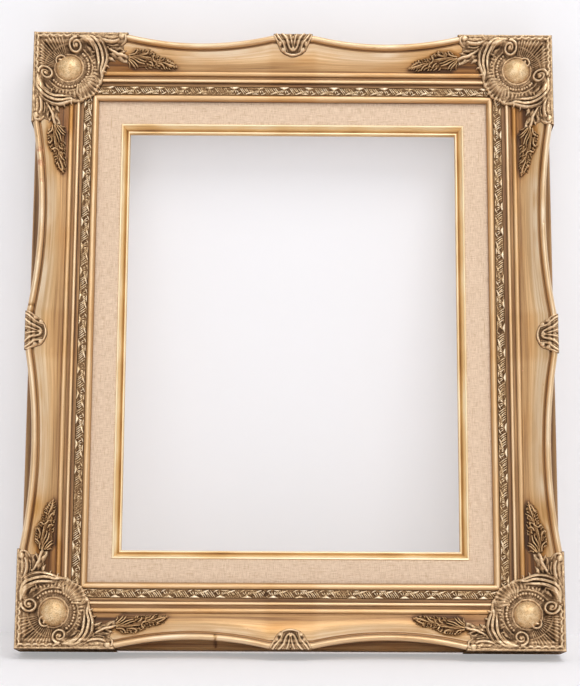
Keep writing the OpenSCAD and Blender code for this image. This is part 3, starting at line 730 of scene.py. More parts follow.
cornerWork = {
    "step": 0.3,
    "top": 44.3,
    "lowEdge": 4.0,
    "domeAt": 28.5,
    "domeRadius": 9.6,
    "discTop": 33.6,
    "beadRing": 16.4,
    "beadRadius": 1.18,
    "scrollAt": (34.3, 10.5),
    # small curl that laps over the dome
    "curl": [(24.6, 18.6), (22.0, 17.8), (19.4, 19.0), (18.2, 22.0), (19.4, 24.6), (22.2, 25.6),
             (23.8, 24.2), (22.9, 22.2)],
    # half of the outline, from the outer corner along one edge to the inner mitre
    "outline": [(0, 0), (76.6, 0), (76.8, 2.5), (75.6, 6.2), (73.0, 9), (73.8, 13), (74.5, 17), (76.4, 19),
                (76.4, 23),
                (72.6, 22.6), (68, 20.4), (63.5, 20.2), (60.6, 22.6), (59.4, 27), (57.4, 32), (56.2, 36.5),
                (55.4, 40), (52.8, 42.4), (51.6, 46), (49.6, 49.6)],
    "seat": [(8, 38.1), (10.9, 35.6), (14.2, 33.2), (18.4, 31.1), (26.8, 30.2), (33, 30), (39, 28.9),
             (53, 26.6)],
    # raised bodies under the big acanthus leaf, the wing's cup and the stem
    "bodies": [
        ([(36, 3.0), (44, 2.2), (51.5, 3.8), (57, 8.4), (60, 14.6), (60.6, 21), (58.6, 28), (55, 36),
          (52.6, 31), (50.8, 23), (49.4, 16.6), (46.6, 11.8), (42.4, 8.4), (38, 6.8)], 2.0),
        ([(58, 2.6), (68, 2.2), (70.6, 5.0), (70, 9.6), (67.2, 13), (62.6, 13.6), (58.6, 10), (55, 5.6)],
         1.1),
        ([(60, 11.5), (66, 13.2), (71, 14.6), (76.6, 16.8), (76.6, 20.6), (70, 19.6), (63, 17.0)], 1.3),
    ],
    # acanthus strands that leave the scroll: points, widths, heights
    "strands": [
        ([(39.6, 4.6), (43.6, 6.0), (46.6, 8.4), (48.4, 11.6), (48.9, 14.6)], [0.5, 0.95, 0.9, 0.4],
         [1.0, 1.6, 1.6, 0.6]),
        ([(36.4, 4.4), (42.6, 4.4), (47.4, 7.4), (50.5, 11.6), (52.2, 16.8), (52.6, 23), (52.2, 28),
          (53.0, 34.6)], [0.6, 1.0, 1.2, 1.15, 0.6], [1.2, 1.7, 2.3, 2.3, 1.0]),
        ([(40, 2.9), (46.6, 3.9), (51.4, 7.6), (54.2, 12.4), (55.7, 17.6), (55.9, 23), (54.7, 28.4),
          (54.6, 34.8)], [0.6, 1.0, 1.25, 1.2, 0.6], [1.0, 1.7, 2.4, 2.4, 1.0]),
        ([(45, 2.2), (51, 3.2), (55.6, 7.2), (58.4, 12.0), (59.6, 17.6), (58.8, 23.4), (56.8, 29),
          (55.2, 35)], [0.5, 0.95, 1.2, 1.15, 0.5], [0.8, 1.5, 2.2, 2.1, 0.8]),
        ([(37, 3.0), (42, 2.0), (48, 2.0), (53.6, 4.2)], [0.5, 0.85, 0.4], [0.7, 1.1, 0.7]),
        ([(50.6, 17.4), (50.4, 23), (51.2, 29.4)], [0.4, 0.85, 0.4], [0.8, 1.5, 0.6]),
    ],
    # small leaves and tongues between the strands
    "leaves": [
        ([(43.2, 10.6), (46.0, 13.0), (47.4, 17.2)], [0.5, 1.5, 0.4], [1.0, 1.8, 0.8]),
        ([(52.3, 37.4), (53.6, 38.8), (55.6, 38.2)], [0.9, 1.35, 0.6], [1.6, 2.2, 1.0]),
        ([(49.8, 35.6), (51.4, 38.6), (50.6, 41.6)], [0.5, 1.35, 0.5], [1.2, 1.8, 0.8]),
        ([(59.6, 17.8), (62.2, 19.2), (65.8, 21.4)], [0.6, 1.5, 0.4], [1.4, 2.0, 0.8]),
        ([(61.5, 15.7), (64.6, 17.2), (67.6, 18.9)], [0.6, 1.45, 0.4], [1.4, 2.0, 0.8]),
        ([(62.4, 13.6), (66, 13.5), (70.4, 12.4), (73.4, 13.6)], [0.5, 1.0, 0.8, 0.3], [1.0, 1.6, 1.2, 0.6]),
        ([(67.5, 16.2), (71.2, 15.0), (75.4, 13.4)], [0.5, 1.05, 0.4], [1.0, 1.6, 0.8]),
        ([(67.6, 18.8), (70.6, 19.2), (73.6, 21.4)], [0.6, 1.1, 0.4], [1.2, 1.8, 0.8]),
    ],
    # cup of the wing: bright lip, then fine lines inside
    "wingLines": [
        ([(53.6, 4.4), (57.2, 6.8), (61.6, 7.9), (66.4, 7.8), (69.8, 6.2)], [0.5, 1.05, 1.1, 0.7],
         [1.2, 1.8, 2.0, 1.4]),
        ([(56, 2.2), (62, 1.9), (68.4, 2.3)], [0.4, 0.7, 0.5], [0.5, 0.9, 0.8]),
        ([(59, 9.6), (63.4, 10.4), (68.6, 9.8)], [0.3, 0.6, 0.4], [0.7, 1.1, 0.8]),
        ([(60.4, 11.8), (64.6, 12.2), (69, 11.6)], [0.3, 0.55, 0.4], [0.6, 1.0, 0.7]),
        ([(60.5, 4.9), (64, 5.4), (67.2, 4.9)], [0.3, 0.5, 0.3], [0.3, 0.6, 0.4]),
    ],
    # small curled tips on both edges of the leaf, each with the way it points
    "tips": [((60.4, 11.6), 35), ((61.4, 19.4), 5), ((60.0, 25.6), -10), ((57.8, 31), 0),
             ((47.8, 14.8), 165), ((49.0, 24.4), 185)],
    # leaves over the inner mitre: angle, reach, width
    "palmette": [(45, 17.4, 1.35), (57, 17.9, 1.3), (69, 17.2, 1.25), (81, 15.6, 1.15), (93, 12.8, 1.0)],
    "stem": [(61.6, 12.8), (65.2, 14.7), (68.6, 16.6), (72.8, 17.3), (76.8, 18.7)],
}


def castSeat(d):
    # smooth surface just above the wood, flattened over the rim bead and its quirk
    seatD, seatH = zip(*cornerWork["seat"])
    low = np.interp(np.maximum(d, 8), seatD, seatH) + 0.75
    rim = np.maximum(groundAt(np.clip(d, 2.2, 8)) + 0.3, 41.0)
    soft = ease(6.4, 9.4, d)
    return rim * (1 - soft) + low * soft


def casterBed(u, v):
    work = cornerWork
    seat = castSeat(np.minimum(u, v))
    r = np.hypot(u - work["domeAt"], v - work["domeAt"])
    share = ease(20.5, 26.5, r)
    return np.maximum(work["discTop"] * (1 - share) + seat * share, seat)


def carveCorner(seed):
    work = cornerWork
    step = work["step"]
    relief = Relief((0, cornerArm), (0, cornerArm), step, casterBed)
    rng = np.random.default_rng(seed)
    half = work["outline"]
    outline = half + [(v, u) for u, v in half[-2:0:-1]]
    relief.plate(outline, 0.25)
    centre = np.array([work["domeAt"], work["domeAt"]])

    def jitter(size):
        return rng.normal(0, size, 2)

    def away(angle):
        return np.array([math.cos(math.radians(angle)), math.sin(math.radians(angle))])

    # dome's collar, and a shallow dish outside it
    for radius, width, rise in ((11.7, 0.7, 0.6), (19.2, 0.7, 0.8)):
        relief.stroke([centre + radius * away(a) for a in np.linspace(0, 360, 61)], width, rise,
                      smooth=False)
    for angle in np.arange(-60, 151, 6.1):
        relief.groove([centre + 12.8 * away(angle), centre + 14.9 * away(angle)], 0.4, 0.3)
    # string of beads on the side of the opening
    for angle in np.arange(-48, 139, 8.4):
        at = centre + work["beadRing"] * away(angle + rng.uniform(-0.8, 0.8))
        relief.bead(at + jitter(0.1), work["beadRadius"] * rng.uniform(0.82, 1.08), 1.9)
    # petals round the disc's edge, largest at the inner mitre
    for angle in np.arange(-34, 125, 7.6):
        big = math.exp(-((angle - 45) / 34) ** 2)
        way = away(angle + rng.uniform(-1.5, 1.5))
        relief.stroke([centre + 19.9 * way, centre + 22.6 * way, centre + (24.8 + 1.8 * big) * way],
                      [0.6, 1.0 + 0.35 * big, 0.6], [0.6, 1.2 + 0.6 * big, 0.9], kind="leaf")
    # flutes fan out to the outer corner
    for number, angle in enumerate(np.linspace(193, 266, 14)):
        way = away(angle)
        reach = min(29.5, (centre[0] - 4.9) / max(abs(way[0]), abs(way[1]))) - (number % 2) * 0.8
        relief.stroke([centre + 13.2 * way, centre + 20 * way, centre + reach * way], [0.3, 0.5, 0.68],
                      [0.7, 1.0, 0.9])
    # small curl that laps over the dome
    relief.stroke(work["curl"], [0.5, 0.9, 0.85, 0.6], [2.2, 2.8, 3.6, 3.4])
    relief.stroke([(21.6, 20.6), (22.0, 22.6)], 1.0, 2.6)
    for mirror in (False, True):
        def m(points):
            # the same points, or their mirror image in the mitre
            return [(p[1], p[0]) if mirror else (p[0], p[1]) for p in points]

        for outlinePoints, rise in work["bodies"]:
            relief.body(m(outlinePoints), rise)
        # scalloped leaf border inside the plain outer edge
        for start in np.arange(2.4, 31, 5.6):
            s = start + rng.uniform(-0.4, 0.4)
            relief.stroke(m([(s, 2.0), (s + 1.4, 3.5), (s + 3.4, 3.7), (s + 4.9, 2.5)]),
                          [0.5, 0.9, 0.85, 0.5], [0.8, 1.4, 1.4, 0.8])
            relief.bead(m([(s + 5.3, 2.9)])[0], 0.8, 1.2)
        relief.stroke(m([(0, 0.8), (20, 0.8), (40, 0.8), (60, 0.8), (76, 0.8)]), 0.9, 0.5, smooth=False)
        # scroll: eye, then a turn and a half that opens into the acanthus leaf
        eye = np.array(work["scrollAt"])
        turns = np.linspace(-215, 272, 42)
        radii = np.interp(turns, [-215, -160, -90, 0, 90, 180, 272], [1.5, 2.2, 2.9, 3.8, 4.5, 5.1, 5.7])
        spiral = [eye + reach * away(a) for a, reach in zip(turns, radii)]
        relief.stroke(m([eye - (0.05, 0), eye + (0.05, 0)]), 6.4, 1.5, lift=0.2, smooth=False)
        relief.stroke(m(spiral), [0.8, 0.85, 0.9, 0.95], [2.2, 2.3, 2.3, 2.2], lift=1.3, smooth=False)
        relief.bead(m([eye + (0.2, -0.2)])[0], 1.7, 2.8, lift=1.3)
        for points, widths, heights in work["strands"]:
            moved = m([np.array(p) + jitter(0.14) for p in points])
            relief.stroke(moved, [w * rng.uniform(0.9, 1.08) for w in widths], heights, lift=0.2)
            relief.groove(moved, 0.3, 0.7)
        for points, widths, heights in work["leaves"]:
            relief.stroke(m([np.array(p) + jitter(0.15) for p in points]), widths, heights, lift=0.3,
                          kind="leaf")
        for points, widths, heights in work["wingLines"]:
            relief.stroke(m([np.array(p) + jitter(0.06) for p in points]), widths, heights, lift=0.2)
        # small curled tips along both edges of the leaf
        for at, way in work["tips"]:
            tip = np.array(at) + jitter(0.2)
            turned = away(way + rng.uniform(-12, 12))
            hook = tip + turned + 0.7 * np.array([-turned[1], turned[0]])
            relief.stroke(m([tip - 1.6 * turned, tip + 0.2 * turned, hook]), [0.5, 0.85, 0.6],
                          [1.0, 1.9, 1.5],
                          lift=0.4)
        # dark hollow between the beads and the leaf, with a few buds in it
        for at in ((45.6, 18.6), (47.8, 23.2), (48.4, 28.2), (48.2, 33.2)):
            relief.bead(m([np.array(at) + jitter(0.2)])[0], 0.9, 0.9, lift=0.1)
        # palmette over the inner mitre
        for angle, reach, width in work["palmette"]:
            way = away(angle)
            root = np.array([36.4, 36.4])
            relief.stroke(m([root + 6.2 * way, root + 0.62 * reach * way, root + reach * way]),
                          [0.7, width, 0.9], [1.4, 2.0, 1.5], lift=0.4, kind="leaf")
            relief.bead(m([root + (reach + 0.2) * way])[0], 0.95, 1.7, lift=0.3)
        # knob and hooked curl at the end of the arm
        relief.bead(m([(71.6, 3.6)])[0], 2.5, 2.2, lift=0.2)
        relief.stroke(m([(72.6, 2.0), (75.0, 3.4), (75.2, 6.4), (73.4, 8.8), (71.4, 9.6)]),
                      [0.6, 0.95, 0.9, 0.5], [1.0, 1.8, 1.7, 0.9])
        relief.stroke(m(work["stem"]), [0.8, 1.25, 1.2, 1.0], [1.8, 2.4, 2.2, 1.8], lift=0.4)
    # stippled field and the worn unevenness of an old cast
    relief.roughen(0.10, 1, seed)
    relief.roughen(0.15, 3, seed + 1)
    relief.roughen(0.08, 7, seed + 2)
    d = np.minimum(relief.a, relief.b)
    relief.roundEdge(d, 1.1)
    return relief, d


def carveSide(seed):
    # leaves that stand along the outer side, tips curled under the rim
    rng = np.random.default_rng(seed)
    side = Relief((0, cornerArm), (3, 44.5), 0.35, lambda a, h: 0 * a)
    for start in np.arange(2.6, 76, 5.6):
        a = start + rng.uniform(-0.3, 0.3)
        side.stroke([(a, 40.5), (a + 0.3, 34), (a + 0.2, 27), (a - 0.3, 19.5), (a, 12)],
                    [1.7, 2.5, 2.4, 1.7, 0.5], [0.9, 1.2, 1.15, 0.9, 0.5], lift=0, kind="leaf")
        side.stroke([(a + 2.8, 38), (a + 2.9, 30), (a + 2.7, 22), (a + 2.8, 15)], [0.8, 1.2, 0.9, 0.4],
                    [0.5, 0.8, 0.6, 0.3], lift=0)
        side.bead((a, 41.2), 1.5, 1.1, lift=0)
        side.groove([(a, 38), (a + 0.1, 30), (a, 20)], 0.35, 0.3)
    side.stroke([(0, 8.2), (20, 8.2), (40, 8.2), (60, 8.2), (77, 8.2)], 2.2, 1.1, lift=0, smooth=False)
    side.stroke([(0, 5), (20, 5), (40, 5), (60, 5), (77, 5)], 1.3, 0.8, lift=0, smooth=False)
    side.roughen(0.05, 1, seed)
    side.roughen(0.06, 4, seed + 1)
    return side


def buildCorner(corner, seed):
    work = cornerWork
    relief, d = carveCorner(seed)
    z, keep, crest = relief.finished(groundAt(np.maximum(d, 3.4)), work["top"])
    rows, cols = z.shape
    places = onCorner(corner, relief.a, relief.b, z).reshape(-1, 3)
    quads = gridQuads(rows, cols, keep)
    grids = [(places, quads, crest.ravel())]
    # sides of the casting that lap down over the outer edge, with upright leaves
    levels = np.linspace(0, 1, 72)
    low = work["lowEdge"]
    for swapped in (False, True):
        leaves = carveSide(seed + (7 if swapped else 0))
        edgeTop = z[:, 0] if not swapped else z[0, :]
        along = relief.along
        high = low + levels[None, :] * (edgeTop[:, None] - low)
        a = np.broadcast_to(along[:, None], high.shape)
        at = np.clip((a - leaves.along[0]) / leaves.step, 0, len(leaves.along) - 1.001)
        up = np.clip((high - leaves.across[0]) / leaves.step, 0, len(leaves.across) - 1.001)
        i, j = at.astype(int), up.astype(int)
        s, t = at - i, up - j
        field = leaves.height
        raised = ((1 - s) * ((1 - t) * field[i, j] + t * field[i, j + 1])
                  + s * ((1 - t) * field[i + 1, j] + t * field[i + 1, j + 1]))
        fade = ease(0, 1.2, a) * (1 - ease(76, 77, a)) * (1 - ease(0.95, 1, levels[None, :]))
        fade = fade * ease(low, low + 1, high)
        inward = fade * np.clip(1.35 - raised, 0, 1.6)
        # painted highlight on the raised side leaves and painted shade between them
        sideCrest = np.clip(0.28 + 0.5 * (raised - blurred(raised, 5)) + 0.16 * raised, 0, 1)
        if swapped:
            sidePlaces = onCorner(corner, inward, a, high).reshape(-1, 3)
            sideQuads = gridQuads(*high.shape)
        else:
            sidePlaces = onCorner(corner, a, inward, high).reshape(-1, 3)
            sideQuads = gridQuads(*high.shape)[:, ::-1]
        grids.append((sidePlaces, sideQuads, sideCrest.ravel()))
    places, quads, crests = joined(grids)
    piece = makePiece("corner_" + corner + "_cast", places, quads, [giltCasting], {"crest": crests})
    settle(piece, "corner_" + corner)
    buildDome(corner, seed)


def buildDome(corner, seed):
    # the bright speckled dome set into the disc
    work = cornerWork
    rings, around = 26, 72
    radius = work["domeRadius"] + 0.9
    share = np.sin(np.linspace(0, math.pi / 2, rings))[:, None]
    angle = np.linspace(0, 2 * math.pi, around + 1)[None, :-1]
    u = work["domeAt"] + radius * share * np.cos(angle)
    v = work["domeAt"] + radius * share * np.sin(angle)
    h = work["discTop"] - 1.2 + 7.6 * np.sqrt(np.clip(1 - share ** 2, 0, 1)) + 0 * angle
    h = h + 0.09 * roughNoise(h.shape, 2, seed + 51) * np.sqrt(share)
    places = onCorner(corner, u, v, h).reshape(-1, 3)
    index = np.arange(rings * around).reshape(rings, around)
    nextOne = np.roll(index, -1, axis=1)
    quads = np.stack([index[:-1], index[1:], nextOne[1:], nextOne[:-1]], axis=-1).reshape(-1, 4)
    quads = quads[around:]
    piece = makePiece("cabochon_" + corner, places, quads.tolist() + [index[1]], [giltCabochon])
    settle(piece, "corner_" + corner)


for number, cornerName in enumerate(cornerNames):
    buildCorner(cornerName, 101 + number)
print("cast the corners")


# Centre shells

shellWork = {
    "step": 0.25,
    "half": 16.0,
    "edge": 0.3,
    "reach": 18.2,
    "lowEdge": 24.3,
    "outline": [(-15.8, 0.3), (-15.4, 4.0), (-13.0, 8.4), (-10.6, 12.8), (-7.2, 15.4), (-3.0, 16.7),
                (0, 17.0)],
    "ridges": [
        ([(9.2, 0.6), (7.2, 2.4), (5.2, 5.2), (4.0, 8.6), (2.6, 11.6), (0.6, 13.0)], [0.7, 0.95, 0.9, 0.8],
         2.2),
        ([(13.6, 0.8), (12.2, 3.2), (9.8, 6.0), (7.6, 8.8), (6.7, 11.6), (6.4, 14.2)], [0.7, 0.95, 0.9, 0.7],
         2.0),
        ([(3.0, 1.0), (2.0, 3.6), (1.1, 7.0), (0.5, 10.4)], [0.5, 0.75, 0.7, 0.5], 1.6),
        ([(6.2, 1.2), (4.4, 4.2), (2.9, 8.0), (1.9, 10.4)], [0.3, 0.45, 0.4], 0.9),
        ([(11.4, 1.2), (9.4, 4.2), (7.0, 7.6), (5.4, 11.4), (4.8, 13.6)], [0.3, 0.5, 0.45], 1.0),
        ([(15.4, 2.0), (14.4, 4.4), (12.8, 6.6)], [0.6, 0.9, 0.5], 1.4),
    ],
    "pearls": [(10.6, 8.6, 1.5), (8.0, 12.6, 1.75)],
}


def buildShell(side, seed):
    work = shellWork
    rng = np.random.default_rng(seed)

    def bed(x, d):
        return castSeat(d) + 1.1 * ease(4, 12, d)

    relief = Relief((-work["half"], work["half"]), (work["edge"], work["reach"]), work["step"], bed)
    relief.plate(work["outline"] + [(-x, d) for x, d in work["outline"][-2::-1]], 0.1)
    for mirror in (1, -1):
        for points, widths, rise in work["ridges"]:
            moved = [(mirror * x, d) + rng.normal(0, 0.06, 2) for x, d in points]
            relief.stroke(moved, widths, rise, lift=0.1)
        for x, d, radius in work["pearls"]:
            relief.bead((mirror * x, d), radius, 1.9, lift=0.2)
    relief.bead((0, 11.8), 1.7, 2.0)
    relief.stroke([(-5.6, 14.9), (-2.8, 16.0), (0, 16.3), (2.8, 16.0), (5.6, 14.9)], [0.7, 1.0, 0.7], 1.5,
                  lift=0.2)
    relief.groove([(0, 0.4), (0, 2.6)], 0.7, 1.4)
    relief.roughen(0.06, 1, seed)
    relief.roundEdge(relief.b - work["edge"], 0.9)
    z, keep, crest = relief.finished(groundAt(np.maximum(relief.b, 3.4)), cornerWork["top"])
    face = onSide(side, relief.a, relief.b, z).reshape(-1, 3)
    # flutes wrap over the rim and run out lower down
    levels = np.linspace(0, 1, 36)[None, :]
    low = work["lowEdge"]
    high = low + levels * (z[:, :1] - low)
    x = np.broadcast_to(relief.along[:, None], high.shape)
    depth = relief.height[:, 2:3] - relief.bed[:, 2:3]
    ribs = np.clip(depth / 2.0, 0, 1)
    fade = 1 - ease(0.92, 1, levels)
    inward = work["edge"] + fade * (0.9 - 0.75 * ribs) + 1.0 * (1 - levels) ** 2 * (1 - 0.3 * ribs)
    # painted highlight on the flank's ribs
    sideCrest = np.clip(0.3 + 0.45 * ribs + 0 * levels, 0, 1)
    flank = onSide(side, x, inward, high).reshape(-1, 3)
    places, quads, crests = joined([(face, gridQuads(*z.shape, keep), crest.ravel()),
                                    (flank, gridQuads(*high.shape)[:, ::-1], sideCrest.ravel())])
    piece = makePiece("shell_" + side + "_cast", places, quads, [giltCasting], {"crest": crests})
    settle(piece, "shell_" + side)


for number, sideName in enumerate(sideNames):
    buildShell(sideName, 211 + number)
print("cast the centre shells")


# Leaf sprays

sprayWork = {
    "step": 0.25,
    "from": 76.9,
    "to": 119.2,
    "stem": [(70, 17.9), (77, 18.6), (84, 18.6), (92, 19.9), (100, 21.8), (108, 23.5), (114, 25.2),
             (117, 26)],
    # edges of the foliage on the rim side and on the sight side
    "outer": [(77, 14.6), (82, 12.5), (88, 12.6), (93, 13.1), (98, 15.5), (102, 17.9), (109, 19.2),
              (114, 22.5), (118, 25.8)],
    "inner": [(76, 22.5), (78, 26.7), (82, 27.7), (90, 27.4), (98, 27.2), (106, 28.4), (111, 27.8),
              (118, 26.3)],
    # veins of the root leaf and the curls that can be told apart
    "veins": [
        [(69, 17.6), (72.6, 19.8), (75.9, 21.5), (77.6, 23.7), (77.9, 26.5)],
        [(70.5, 18.3), (75.9, 20), (79.6, 23), (81.6, 25), (82.6, 27.1)],
        [(72.6, 18.3), (78.8, 20.7), (82.9, 23.7), (84.8, 26.4)],
        [(74.6, 18.1), (80.8, 19.8), (85.3, 22.4), (90.3, 23.7)],
        [(76, 17.7), (83, 19.3), (88.6, 21.4), (91.4, 21.9)],
        [(77.4, 16.7), (82, 16.3), (84, 14.7), (84.8, 12.7)],
        [(80.9, 17.6), (87, 18.1), (91.4, 18.9), (95.6, 19.5), (95.4, 21.4)],
        [(86, 16.5), (88.6, 16.6), (91.1, 16.4), (93.2, 14.8), (92.4, 13.3)],
        [(96, 14.8), (98.2, 17.1), (96.9, 18.9), (97.7, 21), (99.6, 22.5), (100.6, 25.2)],
        [(94.2, 21.9), (96.4, 23.5), (97, 26)],
        [(101.5, 23), (104.5, 24.3), (106.6, 27)],
        [(105.4, 22.6), (110.9, 24.8), (115.8, 26)],
        [(108.6, 20.9), (113, 23), (115.8, 25)],
    ],
    "buds": [((109.4, 20.4), 0.95), ((84.9, 13.2), 1.0), ((92.8, 13.6), 1.05), ((116.2, 25.8), 1.0)],
    "curlSpacing": 2.25,
}


def buildSpray(node, seed):
    work = sprayWork
    rng = np.random.default_rng(seed)
    corner, way = node.rsplit("_", 1)[0].replace("spray_", ""), node.rsplit("_", 1)[1]
    vertical = way in ("up", "down")
    half = halfLength["left" if vertical else "top"]
    outer = np.array(work["outer"])
    inner = np.array(work["inner"])
    stem = splineThrough(work["stem"])

    def wood(u, d):
        return groundAt(d, sweepAt(half - u, half))

    def bed(u, d):
        # swells towards the stem
        middle = np.interp(u, stem[:, 0], stem[:, 1])
        wide = np.where(d < middle, middle - np.interp(u, outer[:, 0], outer[:, 1]),
                        np.interp(u, inner[:, 0], inner[:, 1]) - middle)
        swell = np.sqrt(np.clip(1 - ((d - middle) / np.maximum(wide, 0.5)) ** 2, 0, 1))
        return np.maximum(wood(u, d), 29.0 * ease(18, 24, d)) + 0.15 + 1.5 * swell

    relief = Relief((work["from"], work["to"]), (9.5, 31.5), work["step"], bed)
    # ragged silhouette: the body stops short of the leaf tips
    rimSide = [(work["from"], 15.8)] + [(u, d + 1.1) for u, d in work["outer"][:-1]]
    sightSide = [(u, d - 1.3) for u, d in work["inner"][-2:0:-1]] + [(work["from"], 22.8)]
    relief.plate(rimSide + [(116.5, 25.9)] + sightSide, 0.2)
    # small curled leaves fill the foliage, fanned away from the stem
    spacing = work["curlSpacing"]
    for u in np.arange(80.5, 115.5, spacing):
        high, low = np.interp(u, outer[:, 0], outer[:, 1]), np.interp(u, inner[:, 0], inner[:, 1])
        middle = np.interp(u, stem[:, 0], stem[:, 1])
        for edge in (high, low):
            sign = math.copysign(1, edge - middle)
            if sign > 0 and u < 91:
                continue
            steps = max(1, int(round(abs(edge - middle) / spacing)))
            for k in range(steps):
                at = np.array([u + 0.5 * spacing * (k % 2), middle + (edge - middle) * (k + 0.45) / steps])
                at = at + rng.normal(0, 0.3, 2)
                lean = math.radians(rng.uniform(30, 62) * (0.5 + 0.5 * (k + 1) / steps))
                ahead = np.array([math.cos(lean), sign * math.sin(lean)])
                across = np.array([-ahead[1], ahead[0]]) * sign
                long = rng.uniform(2.0, 2.8)
                tip = at + ahead * long * 0.5
                relief.stroke([at - ahead * long * 0.5, at + across * 0.35, tip - across * 0.3],
                              [0.4, rng.uniform(0.7, 0.95), 0.4], [0.9, rng.uniform(1.2, 1.7), 0.8],
                              lift=0.1 + 0.3 * rng.random(), kind="leaf" if k % 2 else "folded")
                relief.bead(tip, 0.55, 1.1, lift=0.3)
    for points in work["veins"]:
        moved = [np.array(p) + rng.normal(0, 0.12, 2) for p in points]
        relief.stroke(moved, [0.5, 0.68, 0.7, 0.45], [1.4, 1.7, 1.8, 1.1], lift=0.5)
    relief.stroke(work["stem"], [0.9, 0.8, 0.7, 0.5], [1.6, 1.5, 1.3, 1.0], lift=0.3)
    for at, radius in work["buds"]:
        relief.bead(np.array(at) + rng.normal(0, 0.2, 2), radius, 1.9, lift=0.4)
    relief.roughen(0.06, 1, seed)
    z, keep, crest = relief.finished(wood(relief.a, relief.b), cornerWork["top"], 0.7)
    u, d = relief.a, relief.b
    along = corner in ("bottom_left", "top_right")
    straight = along != vertical
    places = onCorner(corner, u, d, z) if straight else onCorner(corner, d, u, z)
    quads = gridQuads(*z.shape, keep)
    if not straight:
        quads = quads[:, ::-1]
    piece = makePiece(node + "_cast", places.reshape(-1, 3), quads, [giltSpray], {"crest": crest.ravel()})
    settle(piece, node)


sprayNodes = sorted(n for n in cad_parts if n.startswith("spray_"))
for number, sprayName in enumerate(sprayNodes):
    buildSpray(sprayName, 311 + number)
print("cast the leaf sprays")


# Pressed leaf courses

courseWork = {
    "from": 40.9,
    "width": 6.9,
    "seat": 24.2,
    "repeat": 20.4,
    "step": 0.25,
    # leaves that lie along the sight edge: points, widths, heights
    "fillers": [
        ([(9.4, 6.1), (12.4, 4.9), (15.0, 4.6)], [0.4, 0.9, 0.3], [0.7, 1.2, 0.5]),
        ([(-5.6, 6.2), (-3.2, 5.9), (-0.8, 6.1)], [0.3, 0.6, 0.3], [0.5, 0.9, 0.5]),
        ([(1.8, 6.3), (3.8, 5.6), (5.4, 4.4)], [0.3, 0.6, 0.3], [0.5, 0.9, 0.5]),
    ],
    # the mitred length that whole repeats fill starts here
    "repeatFrom": 48,
    # chips seen in the photo: side, along, in from the course's edge, size
    "chips": [("bottom", -19.0, 3.0, 1.6), ("right", 5.5, 4.2, 1.9), ("left", 60, 2.0, 1.1)],
}


def leafTile(seed):
    # one repeat of the pressed pattern: petals at the outer edge, veins that lean one way between them
    work = courseWork
    size = work["repeat"]
    rng = np.random.default_rng(seed)
    tile = Relief((-size, 2 * size), (0, work["width"]), work["step"], lambda a, b: 0 * a + 0.6)
    for shift in (-size, 0, size, 2 * size):
        tile.stroke([(shift - 4.0, 0.1), (shift - 2.0, 0.5), (shift, 0.9), (shift + 2.0, 0.5),
                     (shift + 4.0, 0.1)],
                    [0.3, 1.1, 1.6, 1.1, 0.3], [0.5, 1.0, 1.2, 1.0, 0.5], lift=0)
        for foot, width in ((-3.4, 0.5), (-1.3, 0.6), (1.1, 0.6), (3.3, 0.5)):
            # small leaves fan out under the petal
            tile.stroke([(shift + 0.4 * foot, 2.5), (shift + 0.8 * foot, 3.8), (shift + foot + 0.3, 5.3)],
                        [0.3, width, 0.25], [0.7, 1.0, 0.4], lift=0)
        for k in range(6):
            # veins lean from the outer edge to the sight edge
            start = shift + 4.4 + 1.75 * k + rng.uniform(-0.2, 0.2)
            tile.stroke([(start, 0.7), (start + 1.0, 2.3 + 0.2 * (k % 2)),
                         (start + 3.6, 5.9 - 0.35 * (k % 3))],
                        [0.25, rng.uniform(0.42, 0.6), 0.5, 0.25], [0.6, rng.uniform(0.8, 1.15), 0.9, 0.4],
                        lift=0)
        for k in range(5):
            # shorter ones lean the other way, up to the next petal
            start = shift + 11.2 + 1.6 * k
            tile.stroke([(start, 6.0 - 0.1 * k), (start + 1.5, 4.7 - 0.25 * k),
                         (start + 3.1, 2.9 - 0.15 * k)],
                        [0.25, 0.5, 0.25], [0.6, 1.0, 0.45], lift=0)
        for points, widths, heights in work["fillers"]:
            tile.stroke([(shift + x, d) for x, d in points], widths, heights, lift=0)
    return tile


def buildCourse(side, seed):
    work = courseWork
    half = halfLength[side]
    tile = leafTile(seed)
    inset = np.arange(0, work["width"] + 0.01, work["step"])
    x = mitredGrid(side, work["from"] + inset, work["from"], work["step"])
    d = np.broadcast_to(inset, x.shape)
    filled = 2 * (half - work["repeatFrom"])
    repeats = max(1, round(filled / work["repeat"]))
    scale = repeats * work["repeat"] / filled
    along = np.mod((half - x) * scale, work["repeat"])
    at = (along - tile.along[0]) / work["step"]
    low = np.clip(at.astype(int), 0, len(tile.along) - 2)
    share = at - low
    columns = np.broadcast_to(np.arange(len(inset)), x.shape)
    columns = np.minimum(columns, len(tile.across) - 1)
    h = tile.height[low, columns] * (1 - share) + tile.height[low + 1, columns] * share
    uneven = roughNoise(x.shape, 14, seed)
    h = 0.6 + (h - 0.6) * (1 + 0.35 * uneven) + 0.09 * roughNoise(x.shape, 1, seed + 3)
    worn = np.zeros(x.shape)
    for where, alongAt, inward, sizeMm in work["chips"]:
        if where == side:
            away = np.hypot(x - alongAt, d - inward)
            gone = 1 - ease(sizeMm * 0.6, sizeMm * 1.2, away + 0.3 * roughNoise(x.shape, 2, seed + 8))
            h = h * (1 - 0.9 * gone)
            worn = np.maximum(worn, gone)
    edge = np.minimum(d, work["width"] - d)
    h = np.minimum(h, 2.15) - 0.5 * np.clip(1 - edge / 0.4, 0, 1)
    # painted shade in the hollows and painted highlight on the raised leaves; chips darker
    crest = 0.48 + 0.85 * (h - blurred(h, 4)) + 0.28 * (h - 1.2) - 0.5 * worn
    places = onSide(side, x, work["from"] + d, work["seat"] + 0.05 + h)
    piece = makePiece("leaf_course_" + side + "_pressed", places.reshape(-1, 3), gridQuads(*x.shape),
                      [giltCourse], {"crest": np.clip(crest, 0, 1).ravel()})
    settle(piece, "leaf_course_" + side)


